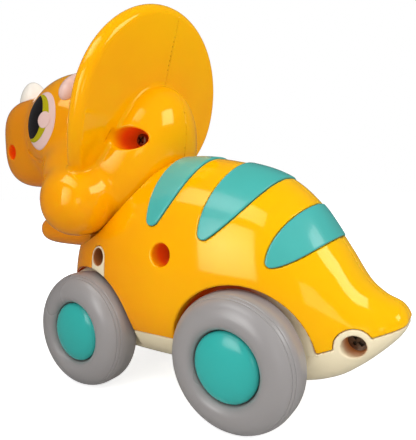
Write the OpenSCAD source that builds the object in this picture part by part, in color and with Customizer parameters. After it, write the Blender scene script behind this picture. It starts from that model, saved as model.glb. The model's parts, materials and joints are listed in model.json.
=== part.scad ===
// Press-and-go triceratops on wheels.
// Pushing the head down turns it about a pin in the cheeks. A toothed lever on the
// head then drives the rear axle through a ratchet pinion and a clutch gear.
// Frame: +X to the nose, +Y to the toy's left, +Z up, wheels stand on Z = 0.

/* [Overall] */
// Length from tail tip to muzzle
toy_l = 150; // [146:0.5:156]

/* [Wheels] */
// Radius of each tyre
tyre_r = 17.9; // [17:0.1:18.6]
// Width of each tyre
tyre_w = 11.3; // [10:0.1:12]
// Radius of the hub caps
hub_r = 9.2; // [8:0.1:10]
// Distance between the rear and front axles
wheelbase = 53.7; // [52:0.1:55]
// Place of the rear axle along the toy
rear_x = -37.6; // [-38.5:0.1:-37]
// Distance from the left hub cap seat to the right one
hub_track = 53.5; // [53:0.1:56]
// Axle diameter
axle_d = 3; // [2.4:0.1:3.4]
// Gap between a tyre and its wheel arch
arch_gap = 1.3; // [1:0.1:2]

/* [Body] */
// Height of the back above the ground
body_top = 71; // [70:0.2:72]
// Height of the belly above the ground
belly_z = 9; // [8:0.2:10]
// Width of the body at its widest
body_w = 46; // [45:0.2:48]
// Front of the chest along the toy
chest_x = 34; // [33.5:0.1:35]
// Wall of the shells
wall = 2; // [1.6:0.1:2.2]
// Height of the line where the body meets the chassis
split_z = 20; // [19:0.2:21]

/* [Stripes] */
// How far the stripes stand out of the back
stripe_proud = 0.5; // [0.1:0.1:1]
// Groove round each stripe
stripe_gap = 0.3; // [0.2:0.05:0.6]

/* [Head] */
// Radius of the neck frill
frill_r = 33; // [31:0.5:35]
// Thickness of the neck frill
frill_t = 5.4; // [4:0.1:6]
// Backward lean of the frill in degrees
frill_lean = 18; // [14:1:22]
// Wall of the head shells
head_wall = 2.2; // [1.8:0.1:2.4]
// Height of the nose horn above its seat
horn_h = 15; // [13:0.5:17]
// Length of each brow horn
brow_l = 14; // [11:0.5:16]

/* [Press mechanism] */
// Place of the head pivot along the toy
pivot_x = 19; // [18.5:0.1:19.5]
// Height of the head pivot
pivot_z = 59; // [58.5:0.1:59.5]
// Diameter of the pivot pin
pin_d = 4; // [3:0.1:4.6]
// Diameter of the gear shaft
shaft_d = 3; // [2.4:0.1:3.4]
// Length of the gear train, from pivot to axle, over the straight line between them
train_fold = 1.01503; // [1.012:0.001:1.03]
// Width of the clutch gear and the axle gear
gear_w = 3; // [2:0.1:3.2]
// Teeth of the ratchet pinion
pinion_teeth = 10; // [9:1:11]
// Teeth of the clutch gear
clutch_teeth = 38; // [37:1:39]
// Teeth of the gear on the rear axle
axle_teeth = 10; // [9:1:11]
// Teeth of a full turn of the lever's sector
sector_teeth = 84; // [83:1:86]
// Running clearance of shafts and pins
fit = 0.05; // [0.02:0.01:0.1]

/* [Screws] */
// Diameter of the screw shanks
screw_d = 2.6; // [2:0.1:2.8]
// Diameter of the screw heads
screw_head_d = 5; // [4:0.1:5.2]
// Diameter of the holes that the screws sit in
recess_d = 6.4; // [5.8:0.1:7]

/* [Hidden] */
$fn = 64;

// Colours of the mouldings
YELLOW = [0.98, 0.72, 0.05];
CREAM = [0.93, 0.88, 0.75];
TEAL = [0.30, 0.70, 0.66];
GREY = [0.58, 0.56, 0.56];
PEARL = [0.92, 0.80, 0.77];
IVORY = [0.95, 0.92, 0.85];
NYLON = [0.88, 0.87, 0.82];
STEEL = [0.62, 0.64, 0.66];

// Places that other sizes give
far = 100;
tail_x = -toy_l / 2;
nose_x = toy_l / 2;
front_x = rear_x + wheelbase;
axle_z = tyre_r;
arch_r = tyre_r + arch_gap;
hub_y = hub_track / 2;
lip_h = 0.8;
tyre_in_y = hub_y + lip_h - tyre_w;
well_gap = 1;
well_y = tyre_in_y - well_gap;
well_t = 1.4;
flange_y = well_y - well_t - well_gap;
seat = 0.15;
skim = 0.3;
axle_r = axle_d / 2;
pin_r = pin_d / 2;
shaft_r = shaft_d / 2;
recess_r = recess_d / 2;
screw_r = screw_d / 2;
P = [pivot_x, pivot_z];
A = [rear_x, axle_z];

// Body form, tail to chest: [share of the length, top, bottom, half width], the last three
// as shares of the height above the belly and of half the width
BODY_ROWS = [[0, 0.34, 0.29, 0.19], [0.018, 0.374, 0.245, 0.31], [0.055, 0.413, 0.177, 0.426],
             [0.092, 0.477, 0.119, 0.522], [0.138, 0.606, 0.061, 0.626], [0.202, 0.768, 0.019, 0.757],
             [0.284, 0.887, 0, 0.878], [0.404, 0.961, 0, 0.974], [0.55, 1, 0, 1], [0.688, 0.984, 0, 0.974],
             [0.817, 0.887, 0.01, 0.896], [0.908, 0.774, 0.042, 0.757], [0.972, 0.629, 0.113, 0.5],
             [1, 0.5, 0.242, 0.217]];
body_rings = 24;
body_steps = 18;
chassis_steps = 12;
waist = 0.4;
top_power = 2.15;
bottom_power = 2.5;
tail_solid = 0.045;

function row_slope(rows, i) =
    let (a = max(i - 1, 0), b = min(i + 1, len(rows) - 1))
    (rows[b] - rows[a]) / (rows[b][0] - rows[a][0]);

function row_index(rows, s, i = 0) =
    (i >= len(rows) - 2 || s <= rows[i + 1][0]) ? i : row_index(rows, s, i + 1);

// Cubic Hermite through the rows at s
function row_at(rows, s) =
    let (i = row_index(rows, s), a = rows[i], b = rows[i + 1], h = b[0] - a[0], t = (s - a[0]) / h,
         m0 = row_slope(rows, i) * h, m1 = row_slope(rows, i + 1) * h)
    a * (2 * t^3 - 3 * t^2 + 1) + m0 * (t^3 - 2 * t^2 + t) + b * (3 * t^2 - 2 * t^3) + m1 * (t^3 - t^2);

function spread(v, p) = sign(v) * pow(abs(v), p);

// Share of the length at ring i: from the tail tip, or from the solid tail for an inner skin
function body_share(i, inset) =
    let (s0 = inset > wall / 2 ? tail_solid : 0, s1 = 1 - max(inset, 0) / (chest_x - tail_x))
    s0 + (s1 - s0) * (1 - cos(180 * i / body_rings)) / 2;

// Section of the body at share s, shrunk by inset: [x, top, bottom, half width, height of the waist]
function body_section(s, inset) =
    let (r = row_at(BODY_ROWS, s), hi = belly_z + r[1] * (body_top - belly_z) - inset,
         lo = belly_z + r[2] * (body_top - belly_z) + inset)
    [tail_x + s * (chest_x - tail_x), hi, lo, r[3] * body_w / 2 - inset, lo + waist * (hi - lo)];

// Point of a section at angle t: -90 belly, 0 flank, 90 back, beyond 90 the right side
function body_point(c, t) =
    let (up = t > 0, p = 2 / (up ? top_power : bottom_power), y = abs(t) == 90 ? 0 : c[3] * spread(cos(t), p))
    [c[0], y, c[4] + (up ? c[1] - c[4] : c[4] - c[2]) * spread(sin(t), p)];

// Left arc of a section from the belly up over the given number of steps
function body_arc(s, inset, steps) =
    let (c = body_section(s, inset))
    [for (k = [0:steps]) body_point(c, -90 + 180 * k / body_steps)];

function backwards(list) = [for (i = [len(list) - 1:-1:0]) list[i]];

// Solid through closed rings of equal count, first and last ring capped
module loft(rings) {
    n = len(rings);
    m = len(rings[0]);
    points = [for (r = rings) each r];
    sides = [for (i = [0:n - 2], j = [0:m - 1])
                let (k = (j + 1) % m)
                each [[i * m + j, (i + 1) * m + k, i * m + k], [i * m + j, (i + 1) * m + j, (i + 1) * m + k]]];
    caps = [[for (j = [0:m - 1]) j], [for (j = [m - 1:-1:0]) (n - 1) * m + j]];
    polyhedron(points, concat(sides, caps));
}

// Half solid on the middle plane: arcs from bottom to top, a pole point at each end
module half_solid(arcs, first_pole, last_pole) {
    n = len(arcs);
    m = len(arcs[0]);
    points = concat([for (a = arcs) each a], [first_pole, last_pole]);
    last = (n - 1) * m;
    p = n * m;
    sides = [for (i = [0:n - 2], j = [0:m - 2])
                let (a = i * m + j)
                each [[a, a + m + 1, a + 1], [a, a + m, a + m + 1]]];
    seam = [for (i = [0:n - 2])
               let (a = i * m, e = a + m - 1)
               each [[a, e, e + m], [a, e + m, a + m]]];
    fans = [for (j = [0:m - 2]) each [[p, j, j + 1], [p + 1, last + j + 1, last + j]]];
    ends = [[p, m - 1, 0], [p + 1, last, last + m - 1]];
    polyhedron(points, concat(sides, seam, fans, ends));
}

// Left half of the body form, shrunk by inset, from the belly up over the given steps
module body_form(inset, steps) {
    whole = steps == body_steps;
    arcs = [for (i = [0:body_rings])
               let (arc = body_arc(body_share(i, inset), inset, steps))
               whole ? arc : concat(arc, [[arc[steps][0], 0, arc[steps][2]]])];
    first = arcs[0];
    last = arcs[body_rings];
    half_solid(arcs, (first[0] + first[len(first) - 1]) / 2 + [-skim / far, 0, 0],
               (last[0] + last[len(last) - 1]) / 2 + [skim / far, 0, 0]);
}

// Round bar along Y
module along_y(at, y0, y1, r) {
    translate([at[0], y1, at[1]]) rotate([90, 0, 0]) cylinder(h = y1 - y0, r = r);
}

// Flat outline in the side view, thickened along Y
module slab_y(y0, y1) {
    translate([0, y1, 0]) rotate([90, 0, 0]) linear_extrude(y1 - y0) children();
}

module strip_2d(a, b, r) {
    along = b - a;
    translate(a) circle(r);
    translate(b) circle(r);
    translate(a) rotate(atan2(along[1], along[0])) translate([0, -r]) square([norm(along), 2 * r]);
}

// Line where body and chassis meet: level, then rising to the tail
split_turn_x = -53;
split_tail_z = 28;
split_rise = (split_tail_z - split_z) / (split_turn_x - tail_x);
module below_split_2d() {
    polygon([[far, -far], [far, split_z], [split_turn_x, split_z],
             [-far, split_z + split_rise * (split_turn_x + far)], [-far, -far]]);
}

// Edge of the body round the neck, from the back down to the chest
RIM_ROWS = [[-10.9, 72.5], [-8.9, 69.3], [-5.6, 66], [-2.2, 61.6], [4.6, 54.8], [11.7, 48.8], [17, 45.9],
            [22, 44.1], [28, 42.8], [36, 41.4]];
rim_steps = 24;
module neck_opening_2d() {
    x0 = RIM_ROWS[0][0];
    x1 = RIM_ROWS[len(RIM_ROWS) - 1][0];
    polygon(concat([for (i = [0:rim_steps]) row_at(RIM_ROWS, x0 + (x1 - x0) * i / rim_steps)],
                   [[x1, far], [x0, far]]));
}

// Screw places in the side view
flank_screw = [-15.6, 43.5];
neck_screw = [2.2, 77.2];
tail_boss = [-64.4, 23.4];
tail_boss_r = 4.2;
ear = [10.5, 41];
ear_r = 3.3;
ear_recess_r = 2.6;
ear_foot = [ear[0], axle_z + arch_r - ear_r];
screw_head_h = 1.8;
tail_floor_y = 5;
ear_floor_y = 9;
thread_l = 8;

// Gear train
function toward(a, b) = atan2(b[1] - a[1], b[0] - a[0]);
function polar(at, r, angle) = at + r * [cos(angle), sin(angle)];
pivot_axle = norm(A - P);
gear_m = 2 * train_fold * pivot_axle / (sector_teeth + pinion_teeth + clutch_teeth + axle_teeth);
tip_add = 0.85;
function pitch_r(teeth) = gear_m * teeth / 2;
function tip_r(teeth) = pitch_r(teeth) + tip_add * gear_m;
drive_gap = pitch_r(sector_teeth) + pitch_r(pinion_teeth);
axle_gap = pitch_r(clutch_teeth) + pitch_r(axle_teeth);
train_bend = acos((drive_gap^2 + pivot_axle^2 - axle_gap^2) / (2 * drive_gap * pivot_axle));
S = polar(P, drive_gap, toward(P, A) - train_bend);

lever_t = 3;
pinion_y = 2;
ratchet_y = 3.3;
ratchet_r = 9;
gear_y = 3.6;
plate_share = 0.1957;
plate_in = body_w * plate_share;
plate_t = 2;
plate_out = plate_in + plate_t;
plate_r = 3.4;
end_r = 4.6;
play = 0.2;
pillar_r = 2.2;
pillar_share = 0.396;
pillar_x = tail_x + pillar_share * (chest_x - tail_x);
pillar_gap = tip_r(clutch_teeth) + pillar_r + 3 * play;
pillar_top = [pillar_x, S[1] + sqrt(pillar_gap^2 - (pillar_x - S[0])^2)];
pillar_low = [-6, 19];
flank_boss_r = 4.4;
flank_boss_y = gear_y + gear_w + 0.9;

// Body

post_r = recess_r + 1.2;
jaw_seat_z = 40.5;
jaw_root_x = 26.5;
jaw_root_y = 9;
jaw_gap = 1.4;
shelf_h = 7;

module arches(y0) {
    along_y(A, y0, far, arch_r);
    along_y([front_x, axle_z], y0, far, arch_r);
}

// Solid places of the body shell: screw posts, arch flanges and the shelf of the jaw
module body_posts() {
    along_y(flank_screw, plate_out, far, post_r);
    for (x = [rear_x, front_x]) along_y([x, axle_z], flange_y, far, arch_r + wall);
    translate([jaw_root_x, 0, jaw_seat_z - shelf_h])
        cube([chest_x - jaw_root_x, jaw_root_y + jaw_gap, shelf_h + seat]);
}

module body_half() {
    difference() {
        body_form(0, body_steps);
        difference() {
            body_form(wall, body_steps);
            body_posts();
        }
        slab_y(-1, far) below_split_2d();
        slab_y(-1, far) neck_opening_2d();
        arches(flange_y);
        along_y(tail_boss, -1, far, tail_boss_r + seat);
        slab_y(-1, far) strip_2d([ear[0], axle_z], ear, ear_r + seat);
        along_y(flank_screw, plate_out + wall, far, recess_r);
        along_y(flank_screw, 0, far, screw_r + fit);
        translate([jaw_root_x - jaw_gap, -1, jaw_seat_z])
            cube([far, jaw_root_y + jaw_gap + 1, far]);
        for (k = [0:len(STRIPES) - 1]) difference() {
            stripe_slab(k, stripe_gap);
            stripe_bed(k, stripe_depth);
        }
    }
}

module body_left() {
    color(YELLOW) body_half();
}

module body_right() {
    color(YELLOW) mirror([0, 1, 0]) body_half();
}

// Stripes: side outlines from the flank tip up to the back
// [tip, front middle, front top, rear middle, rear top, half width of the tip]
STRIPES = [[[-11, 51.3], [-8.2, 62], [-11.8, 73], [-18.9, 60], [-23.4, 73], 2.3],
           [[-27.9, 48.2], [-26.4, 58], [-34.6, 73], [-37.8, 53.6], [-47.6, 68], 1.9],
           [[-45.6, 42.2], [-45.8, 51.5], [-56.5, 60], [-52.6, 42.4], [-64.5, 53], 1.6]];
stripe_depth = 1.2;
stripe_steps = 8;
bed_rings = 5;

function bend(a, b, c, t) = (1 - t)^2 * a + 2 * t * (1 - t) * b + t^2 * c;

function stripe_outline(k, grow) =
    let (s = STRIPES[k], w = s[5] + grow, up = [s[2][0] + s[4][0], s[2][1] + s[4][1]] / 2 - s[0],
         u = up / norm(up), side = [u[1], -u[0]], out = side * grow,
         tip = s[0] + u * s[5],
         round_tip = [for (i = [0:stripe_steps]) let (t = 180 * i / stripe_steps)
                         tip - side * w * cos(t) - u * w * sin(t)])
    concat(round_tip,
           [for (i = [1:stripe_steps]) bend(tip + side * w, s[1] + out, s[2] + out, i / stripe_steps)],
           [for (i = [stripe_steps:-1:1]) bend(tip - side * w, s[3] - out, s[4] - out, i / stripe_steps)]);

module stripe_slab(k, grow) {
    slab_y(-far, far) polygon(stripe_outline(k, grow));
}

// Upper part of the body form under a stripe, full width, shrunk by inset
module stripe_bed(k, inset) {
    xs = [for (p = stripe_outline(k, stripe_gap)) p[0]];
    x0 = min(xs) - 1;
    x1 = max(xs) + 1;
    loft([for (i = [0:bed_rings])
        let (c = body_section((x0 + (x1 - x0) * i / bed_rings - tail_x) / (chest_x - tail_x), inset))
        [for (j = [0:body_steps]) body_point(c, 180 * j / body_steps)]]);
}

module stripe(k) {
    color(TEAL) intersection() {
        stripe_slab(k, 0);
        difference() {
            stripe_bed(k, -stripe_proud);
            stripe_bed(k, stripe_depth - seat);
        }
    }
}

module stripe_front() {
    stripe(0);
}

module stripe_middle() {
    stripe(1);
}

module stripe_rear() {
    stripe(2);
}

// Chassis

// Bosses for the screws and axles, and the guards that close the wheel wells
module chassis_bosses() {
    along_y(tail_boss, 0, far, tail_boss_r);
    slab_y(0, far) strip_2d(ear_foot, ear, ear_r);
    for (x = [rear_x, front_x]) {
        along_y([x, axle_z], plate_out, well_y, end_r);
        along_y([x, axle_z], well_y - well_t, well_y, arch_r - seat);
    }
}

module chassis_half(left) {
    difference() {
        intersection() {
            body_form(0, chassis_steps);
            union() {
                slab_y(-1, far) below_split_2d();
                chassis_bosses();
            }
        }
        difference() {
            body_form(wall, chassis_steps);
            chassis_bosses();
        }
        arches(well_y);
        for (x = [rear_x, front_x]) along_y([x, axle_z], 0, far, axle_r + fit);
        if (left) {
            along_y(tail_boss, -1, far, screw_r + fit);
            along_y(tail_boss, tail_floor_y, far, recess_r - seat);
            along_y(ear, -1, far, screw_r + fit);
            along_y(ear, ear_floor_y, far, ear_recess_r);
        } else {
            along_y(tail_boss, -1, thread_l, screw_r);
            along_y(ear, -1, thread_l, screw_r);
        }
    }
}

module chassis_left() {
    color(CREAM) chassis_half(true);
}

module chassis_right() {
    color(CREAM) mirror([0, 1, 0]) chassis_half(false);
}

// Jaw: [place along X, half width, half height, middle height]
JAW_ROWS = [[26.5, 9, 4.8, 45.4], [36, 9.4, 5.2, 46], [46, 9.4, 5.5, 46.5], [53, 8.6, 5.3, 46.8],
            [57, 6.6, 4.3, 47], [59.3, 3.8, 2.7, 47], [60.2, 1, 0.8, 47]];
jaw_rings = 11;
jaw_steps = 24;
jaw_power = 2.3;
spring_x = 30;
spring_seat_z = 49;
spring_od = 6;
spring_top_z = 58;

module lower_jaw() {
    x0 = JAW_ROWS[0][0];
    x1 = JAW_ROWS[len(JAW_ROWS) - 1][0];
    color(YELLOW) difference() {
        union() {
            loft([for (i = [0:jaw_rings])
                let (x = x0 + (x1 - x0) * sin(90 * i / jaw_rings), r = row_at(JAW_ROWS, x))
                [for (j = [0:jaw_steps - 1]) let (t = 360 * j / jaw_steps)
                    [x, r[1] * spread(cos(t), 2 / jaw_power), r[3] + r[2] * spread(sin(t), 2 / jaw_power)]]]);
            translate([x0, -jaw_root_y, jaw_seat_z])
                cube([chest_x - x0 - wall, 2 * jaw_root_y, spring_seat_z - jaw_seat_z]);
        }
        translate([spring_x, 0, spring_seat_z]) cylinder(h = far, r = spring_od / 2 + skim);
    }
}

// Head: rounded masses melted into one form
// [centre, half sizes, power in plan, power in height, lean]
muzzle_half = 16.5;
HEAD = [[[35, 0, 83], [22, 20.5, 21.5], 2, 2, 0],
        [[nose_x - muzzle_half, 0, 80.8], [muzzle_half, 14.8, 17.2], 2.3, 3, 0],
        [[22.5, 0, 66.5], [18, 25.5, 15.5], 2.2, 2.2, 0],
        [[17.6, 21.5, 58.3], [11, 10.3, 10.6], 2.1, 2.1, 0],
        [[17.6, -21.5, 58.3], [11, 10.3, 10.6], 2.1, 2.1, 0],
        [[8, 0, 68], [16, 16, 27.5], 2, 2, 0.28]];
head_melt = 8;
head_mid = [18, 0, 67];
head_lift = 13.3;
head_rings = 27;
head_steps = 18;
head_crowd = 1.3;
search_far = 80;
search_steps = 22;

function mass(m, p) =
    let (q = p - m[0], x = q[0] + m[4] * q[2],
         plan = pow(abs(x / m[1][0]), m[2]) + pow(abs(q[1] / m[1][1]), m[2]))
    pow(pow(plan, m[3] / m[2]) + pow(abs(q[2] / m[1][2]), m[3]), -head_melt / m[3]);

function head_sum(p, i = 0) = i == len(HEAD) ? 0 : mass(HEAD[i], p) + head_sum(p, i + 1);

// Distance from the middle of the head to its skin along d, by halving
function head_reach(d, lo, hi, n) =
    n == 0 ? lo
           : let (r = (lo + hi) / 2)
             head_sum(head_mid + r * d) > 1 ? head_reach(d, r, hi, n - 1) : head_reach(d, lo, r, n - 1);

// Point of the head skin, shrunk by inset: a from the nose line, b from below over the left side
function head_point(a, b, inset) =
    let (nose = [cos(head_lift), 0, sin(head_lift)], up = [-sin(head_lift), 0, cos(head_lift)],
         side = abs(b) == 90 ? 0 : cos(b),
         d = cos(a) * nose + sin(a) * side * [0, 1, 0] + sin(a) * sin(b) * up)
    head_mid + (head_reach(d, 1, search_far, search_steps) - inset) * d;

// Left half of the head form, shrunk by inset
module head_form(inset) {
    half_solid([for (i = [head_rings:-1:1])
                   let (a = 180 * pow(i / (head_rings + 1), head_crowd))
                   [for (k = [0:head_steps]) head_point(a, -90 + 180 * k / head_steps, inset)]],
               head_point(180, 90, inset), head_point(0, 90, inset));
}

frill_mid = [3.8, 0, 86.5];
frill_drop = 26;
frill_bend = 0.008;
frill_draw = 0.0138;
skirt_rings = 7;
skirt_steps = 6;

// Left half of the frill: a round-edged disc, and below its middle a skirt, a hair thinner,
// that bends forward and draws in to meet the cheek
module frill_half() {
    edge = frill_t / 2;
    rim = edge - fit;
    flat_r = frill_r - edge;
    translate(frill_mid) rotate([0, -frill_lean, 0]) {
        rotate([0, 90, 0]) rotate([0, 0, 90]) rotate_extrude(angle = 90) {
            translate([0, -edge]) square([flat_r, frill_t]);
            intersection() {
                translate([flat_r, 0]) circle(edge);
                translate([flat_r, -edge]) square([edge, frill_t]);
            }
        }
        loft([for (i = [skirt_rings:-1:0])
            let (d = frill_drop * i / skirt_rings, w = flat_r - frill_draw * d^2, a = atan(2 * frill_bend * d),
                 sink = i == 0 ? wall : 0)
            [for (q = concat([[0, rim]],
                             [for (k = [0:skirt_steps]) let (t = 90 - 180 * k / skirt_steps)
                                 [w + rim * cos(t), rim * sin(t)]],
                             [[0, -rim]]))
                [frill_bend * d^2 + q[1] * cos(a), q[0], q[1] * sin(a) - d + sink]]]);
    }
}

horn_seat_z = 91.5;
horn_x = nose_x - 8.7;
horn_r = 6;
horn_steps = 10;
horn_low = 0.2;
brow_mid = [27.5, 13.4, 96.3];
brow_turn = [38, 7];
brow_r = 3.2;
brow_steps = 12;
brow_blunt = 0.18;
nostril = [nose_x - 13.4, 77];
nostril_r = 2.9;
nostril_floor_y = 10;
neck_floor_y = 5;
neck_mouth_y = 17;
throat_y = 12.2;
THROAT = [[-40, 20], [-40, 40], [-8, 48.8], [6.5, 56.9], [9.5, 56.9], [12, 53], [36, 53], [36, 20]];
pivot_boss_r = 4.6;
shelf_x0 = 25.8;
shelf_x1 = 34.5;
shelf_t = 3;
peg = [52, 88];
peg_r = 1.8;
peg_l = 6;

module head_bosses() {
    along_y(neck_screw, lever_t / 2, far, post_r);
    along_y(P, plate_out + play * 3, far, pivot_boss_r);
    along_y(peg, 0, far, peg_r + wall);
    translate([shelf_x0, -1, spring_top_z]) cube([shelf_x1 - shelf_x0, far, shelf_t]);
    translate([horn_x, 0, horn_seat_z - head_wall]) cylinder(h = far, r = horn_r + head_wall);
    brow_horn_form(wall);
}

module head_half(left) {
    difference() {
        union() {
            difference() {
                union() {
                    head_form(0);
                    frill_half();
                }
                difference() {
                    head_form(head_wall);
                    head_bosses();
                }
                translate([-far, -2 * far, -far]) cube([3 * far, 2 * far, 3 * far]);
            }
            if (!left) along_y(peg, -peg_l, 1, peg_r);
        }
        slab_y(-1, throat_y) polygon(THROAT);
        translate([spring_x, 0, 0]) cylinder(h = spring_top_z, r = spring_od / 2 + well_gap);
        along_y(P, 0, pin_l / 2 + play, pin_r + fit);
        along_y(nostril, nostril_floor_y, far, nostril_r);
        if (left) {
            along_y(neck_screw, -1, far, screw_r + fit);
            along_y(neck_screw, neck_floor_y, neck_mouth_y, recess_r);
            along_y(peg, -1, peg_l + play, peg_r + fit);
        } else {
            along_y(neck_screw, -1, thread_l + lever_t, screw_r);
        }
        nose_horn_form(fit);
        brow_horn_form(fit);
    }
}

module head_left() {
    color(YELLOW) head_half(true);
}

module head_right() {
    color(YELLOW) mirror([0, 1, 0]) head_half(false);
}

module nose_horn_form(grow) {
    r = horn_r + grow;
    translate([horn_x, 0, horn_seat_z - grow])
        rotate_extrude() polygon(concat([[0, 0], [r, 0]],
            [for (i = [0:horn_steps]) let (t = 90 * i / horn_steps)
                [i == horn_steps ? 0 : r * cos(t), horn_h * (horn_low + (1 - horn_low) * sin(t))]]));
}

module nose_horn() {
    color(IVORY) nose_horn_form(0);
}

// Teardrop that lies along the brow, blunt end down
module brow_horn_form(grow) {
    r = brow_r + grow;
    l = brow_l + 2 * grow;
    translate(brow_mid) rotate([brow_turn[0], brow_turn[1], 0])
        rotate_extrude() polygon([for (i = [0:brow_steps]) let (t = 180 * i / brow_steps)
            [(i == 0 || i == brow_steps) ? 0 : r * sin(t) * (1 + brow_blunt * cos(t)), -l / 2 * cos(t)]]);
}

module brow_horn_left() {
    color(PEARL) brow_horn_form(0);
}

module brow_horn_right() {
    color(PEARL) mirror([0, 1, 0]) brow_horn_form(0);
}

// Wheels

lip_r = hub_r + 2.4;
cap_floor = 2.4;
cap_dome = 1;
cap_edge = 0.9;
shoulder_r = tyre_r - 2.6;
shoulder_h = 2.6;
crown_y = 5.4;
arc_steps = 10;
boss_in_r = 5.5;
groove_r = tyre_r - 5;
groove_h = 3;
axle_end = 3;

// Tyre section: bore, hollow inner side, shoulder, crown, rounded lip, seat of the hub cap
module tyre(x) {
    inner = lip_h - tyre_w;
    hole = hub_r + seat;
    crown = [for (i = [0:arc_steps]) let (t = 90 * i / arc_steps)
                [lip_r + (tyre_r - lip_r) * cos(t), -crown_y + (lip_h + crown_y) * sin(t)]];
    shoulder = [for (i = [0:arc_steps]) let (t = 90 * i / arc_steps)
                   [shoulder_r + (tyre_r - shoulder_r) * sin(t), inner + shoulder_h * (1 - cos(t))]];
    lip = [for (i = [1:arc_steps]) let (t = 90 * i / arc_steps)
              [hole + (lip_r - hole) * (1 - sin(t)), -cap_edge + (lip_h + cap_edge) * cos(t)]];
    translate([x, hub_y, axle_z]) rotate([-90, 0, 0]) rotate_extrude()
        polygon(concat([[axle_r, -cap_floor], [axle_r, inner], [boss_in_r, inner],
                        [boss_in_r, inner + groove_h], [groove_r, inner + groove_h], [groove_r, inner]],
                       shoulder, crown, lip, [[hole, -cap_floor]]));
}

module hub_cap(x) {
    dome = [for (i = [0:arc_steps]) let (t = 90 * i / arc_steps)
               [i == arc_steps ? 0 : hub_r * cos(t), -cap_edge + (cap_dome + cap_edge) * sin(t)]];
    translate([x, hub_y, axle_z]) rotate([-90, 0, 0]) rotate_extrude()
        polygon(concat([[0, -cap_floor], [hub_r, -cap_floor]], dome));
}

module tyre_front_left() {
    color(GREY) tyre(front_x);
}

module tyre_front_right() {
    color(GREY) mirror([0, 1, 0]) tyre(front_x);
}

module tyre_rear_left() {
    color(GREY) tyre(rear_x);
}

module tyre_rear_right() {
    color(GREY) mirror([0, 1, 0]) tyre(rear_x);
}

module hub_cap_front_left() {
    color(TEAL) hub_cap(front_x);
}

module hub_cap_front_right() {
    color(TEAL) mirror([0, 1, 0]) hub_cap(front_x);
}

module hub_cap_rear_left() {
    color(TEAL) hub_cap(rear_x);
}

module hub_cap_rear_right() {
    color(TEAL) mirror([0, 1, 0]) hub_cap(rear_x);
}

axle_l = 2 * (hub_y - cap_floor);

module front_axle() {
    color(STEEL) along_y([front_x, axle_z], -axle_l / 2, axle_l / 2, axle_r);
}

module rear_axle() {
    color(STEEL) along_y(A, -axle_l / 2, axle_l / 2, axle_r);
}

// Gear frame, held by smaller screws

small = 0.75;

module plate_2d() {
    strip_2d(A, S, plate_r);
    strip_2d(S, P, plate_r);
    strip_2d(S, pillar_top, plate_r);
    strip_2d(S, pillar_low, plate_r);
    for (c = [A, S, P]) translate(c) circle(end_r);
    translate(flank_screw) circle(flank_boss_r);
}

module frame_plate() {
    difference() {
        union() {
            slab_y(plate_in, plate_out) plate_2d();
            along_y(flank_screw, flank_boss_y, plate_in + play, flank_boss_r);
        }
        along_y(A, 0, far, axle_r + fit);
        along_y(S, 0, far, shaft_r);
        along_y(P, 0, far, pin_r);
        along_y(flank_screw, 0, far, screw_r);
    }
}

module frame_left() {
    color(NYLON) difference() {
        union() {
            frame_plate();
            for (c = [pillar_top, pillar_low]) along_y(c, -plate_in, plate_in + play, pillar_r);
        }
        for (c = [pillar_top, pillar_low]) along_y(c, -plate_in - 1, -plate_in + thread_l, screw_r * small);
    }
}

module frame_right() {
    color(NYLON) difference() {
        mirror([0, 1, 0]) frame_plate();
        for (c = [pillar_top, pillar_low]) along_y(c, -far, 0, screw_r * small + fit);
    }
}

pin_l = 38;

module pivot_pin() {
    color(STEEL) along_y(P, -pin_l / 2, pin_l / 2, pin_r);
}

module gear_shaft() {
    color(STEEL) along_y(S, -plate_out, plate_out, shaft_r);
}

// Involute teeth, thinned for backlash
pressure = 22;
root_add = 1.2;
thin = 0.9;
flank_steps = 4;

function involute(r, base) = let (a = acos(min(1, base / r))) tan(a) * 180 / PI - a;

function tooth(teeth, at) =
    let (rp = pitch_r(teeth), base = rp * cos(pressure), tip = tip_r(teeth),
         root = rp - root_add * gear_m, start = max(base, root),
         half = 90 / teeth * thin + involute(rp, base),
         up = [for (i = [0:flank_steps])
                  let (r = start + (tip - start) * i / flank_steps)
                  [r, half - involute(r, base)]],
         side = start > root ? concat([[root, up[0][1]]], up) : up)
    concat([for (s = side) polar([0, 0], s[0], at - s[1])],
           [for (s = backwards(side)) polar([0, 0], s[0], at + s[1])]);

function teeth_points(teeth, first, count, phase) =
    [for (i = [first:first + count - 1]) each tooth(teeth, phase + 360 * i / teeth)];

module gear_2d(teeth, phase) {
    polygon(teeth_points(teeth, 0, teeth, phase));
}

// Lever: eye at the neck screw, hub on the pivot pin, arm to the toothed sector
eye_r = 4;
arm_r = 3.6;
hub_end_r = 4.6;
sector_first = -2;
sector_count = 7;
sector_back = 5;
sector_mid = toward(P, S) + 360 / sector_teeth * (sector_first + (sector_count - 1) / 2);
sector_in_r = pitch_r(sector_teeth) - sector_back;

module press_lever() {
    edge = 360 / sector_teeth * sector_count / 2;
    color(NYLON) difference() {
        union() {
            slab_y(-lever_t / 2, lever_t / 2) {
                strip_2d(P, neck_screw, arm_r);
                translate(neck_screw) circle(eye_r);
                strip_2d(P, polar(P, sector_in_r, sector_mid), arm_r);
                translate(P) polygon(concat([polar([0, 0], sector_in_r, sector_mid + edge),
                                             polar([0, 0], sector_in_r, sector_mid - edge)],
                    teeth_points(sector_teeth, sector_first, sector_count, toward(P, S))));
            }
            along_y(P, -plate_in + play, plate_in - play, hub_end_r);
        }
        along_y(P, -far, far, pin_r + fit);
        along_y(neck_screw, -far, far, screw_r + fit);
    }
}

sleeve_r = 3.2;
pawl_count = 3;
pawl_r = 1.6;

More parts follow.
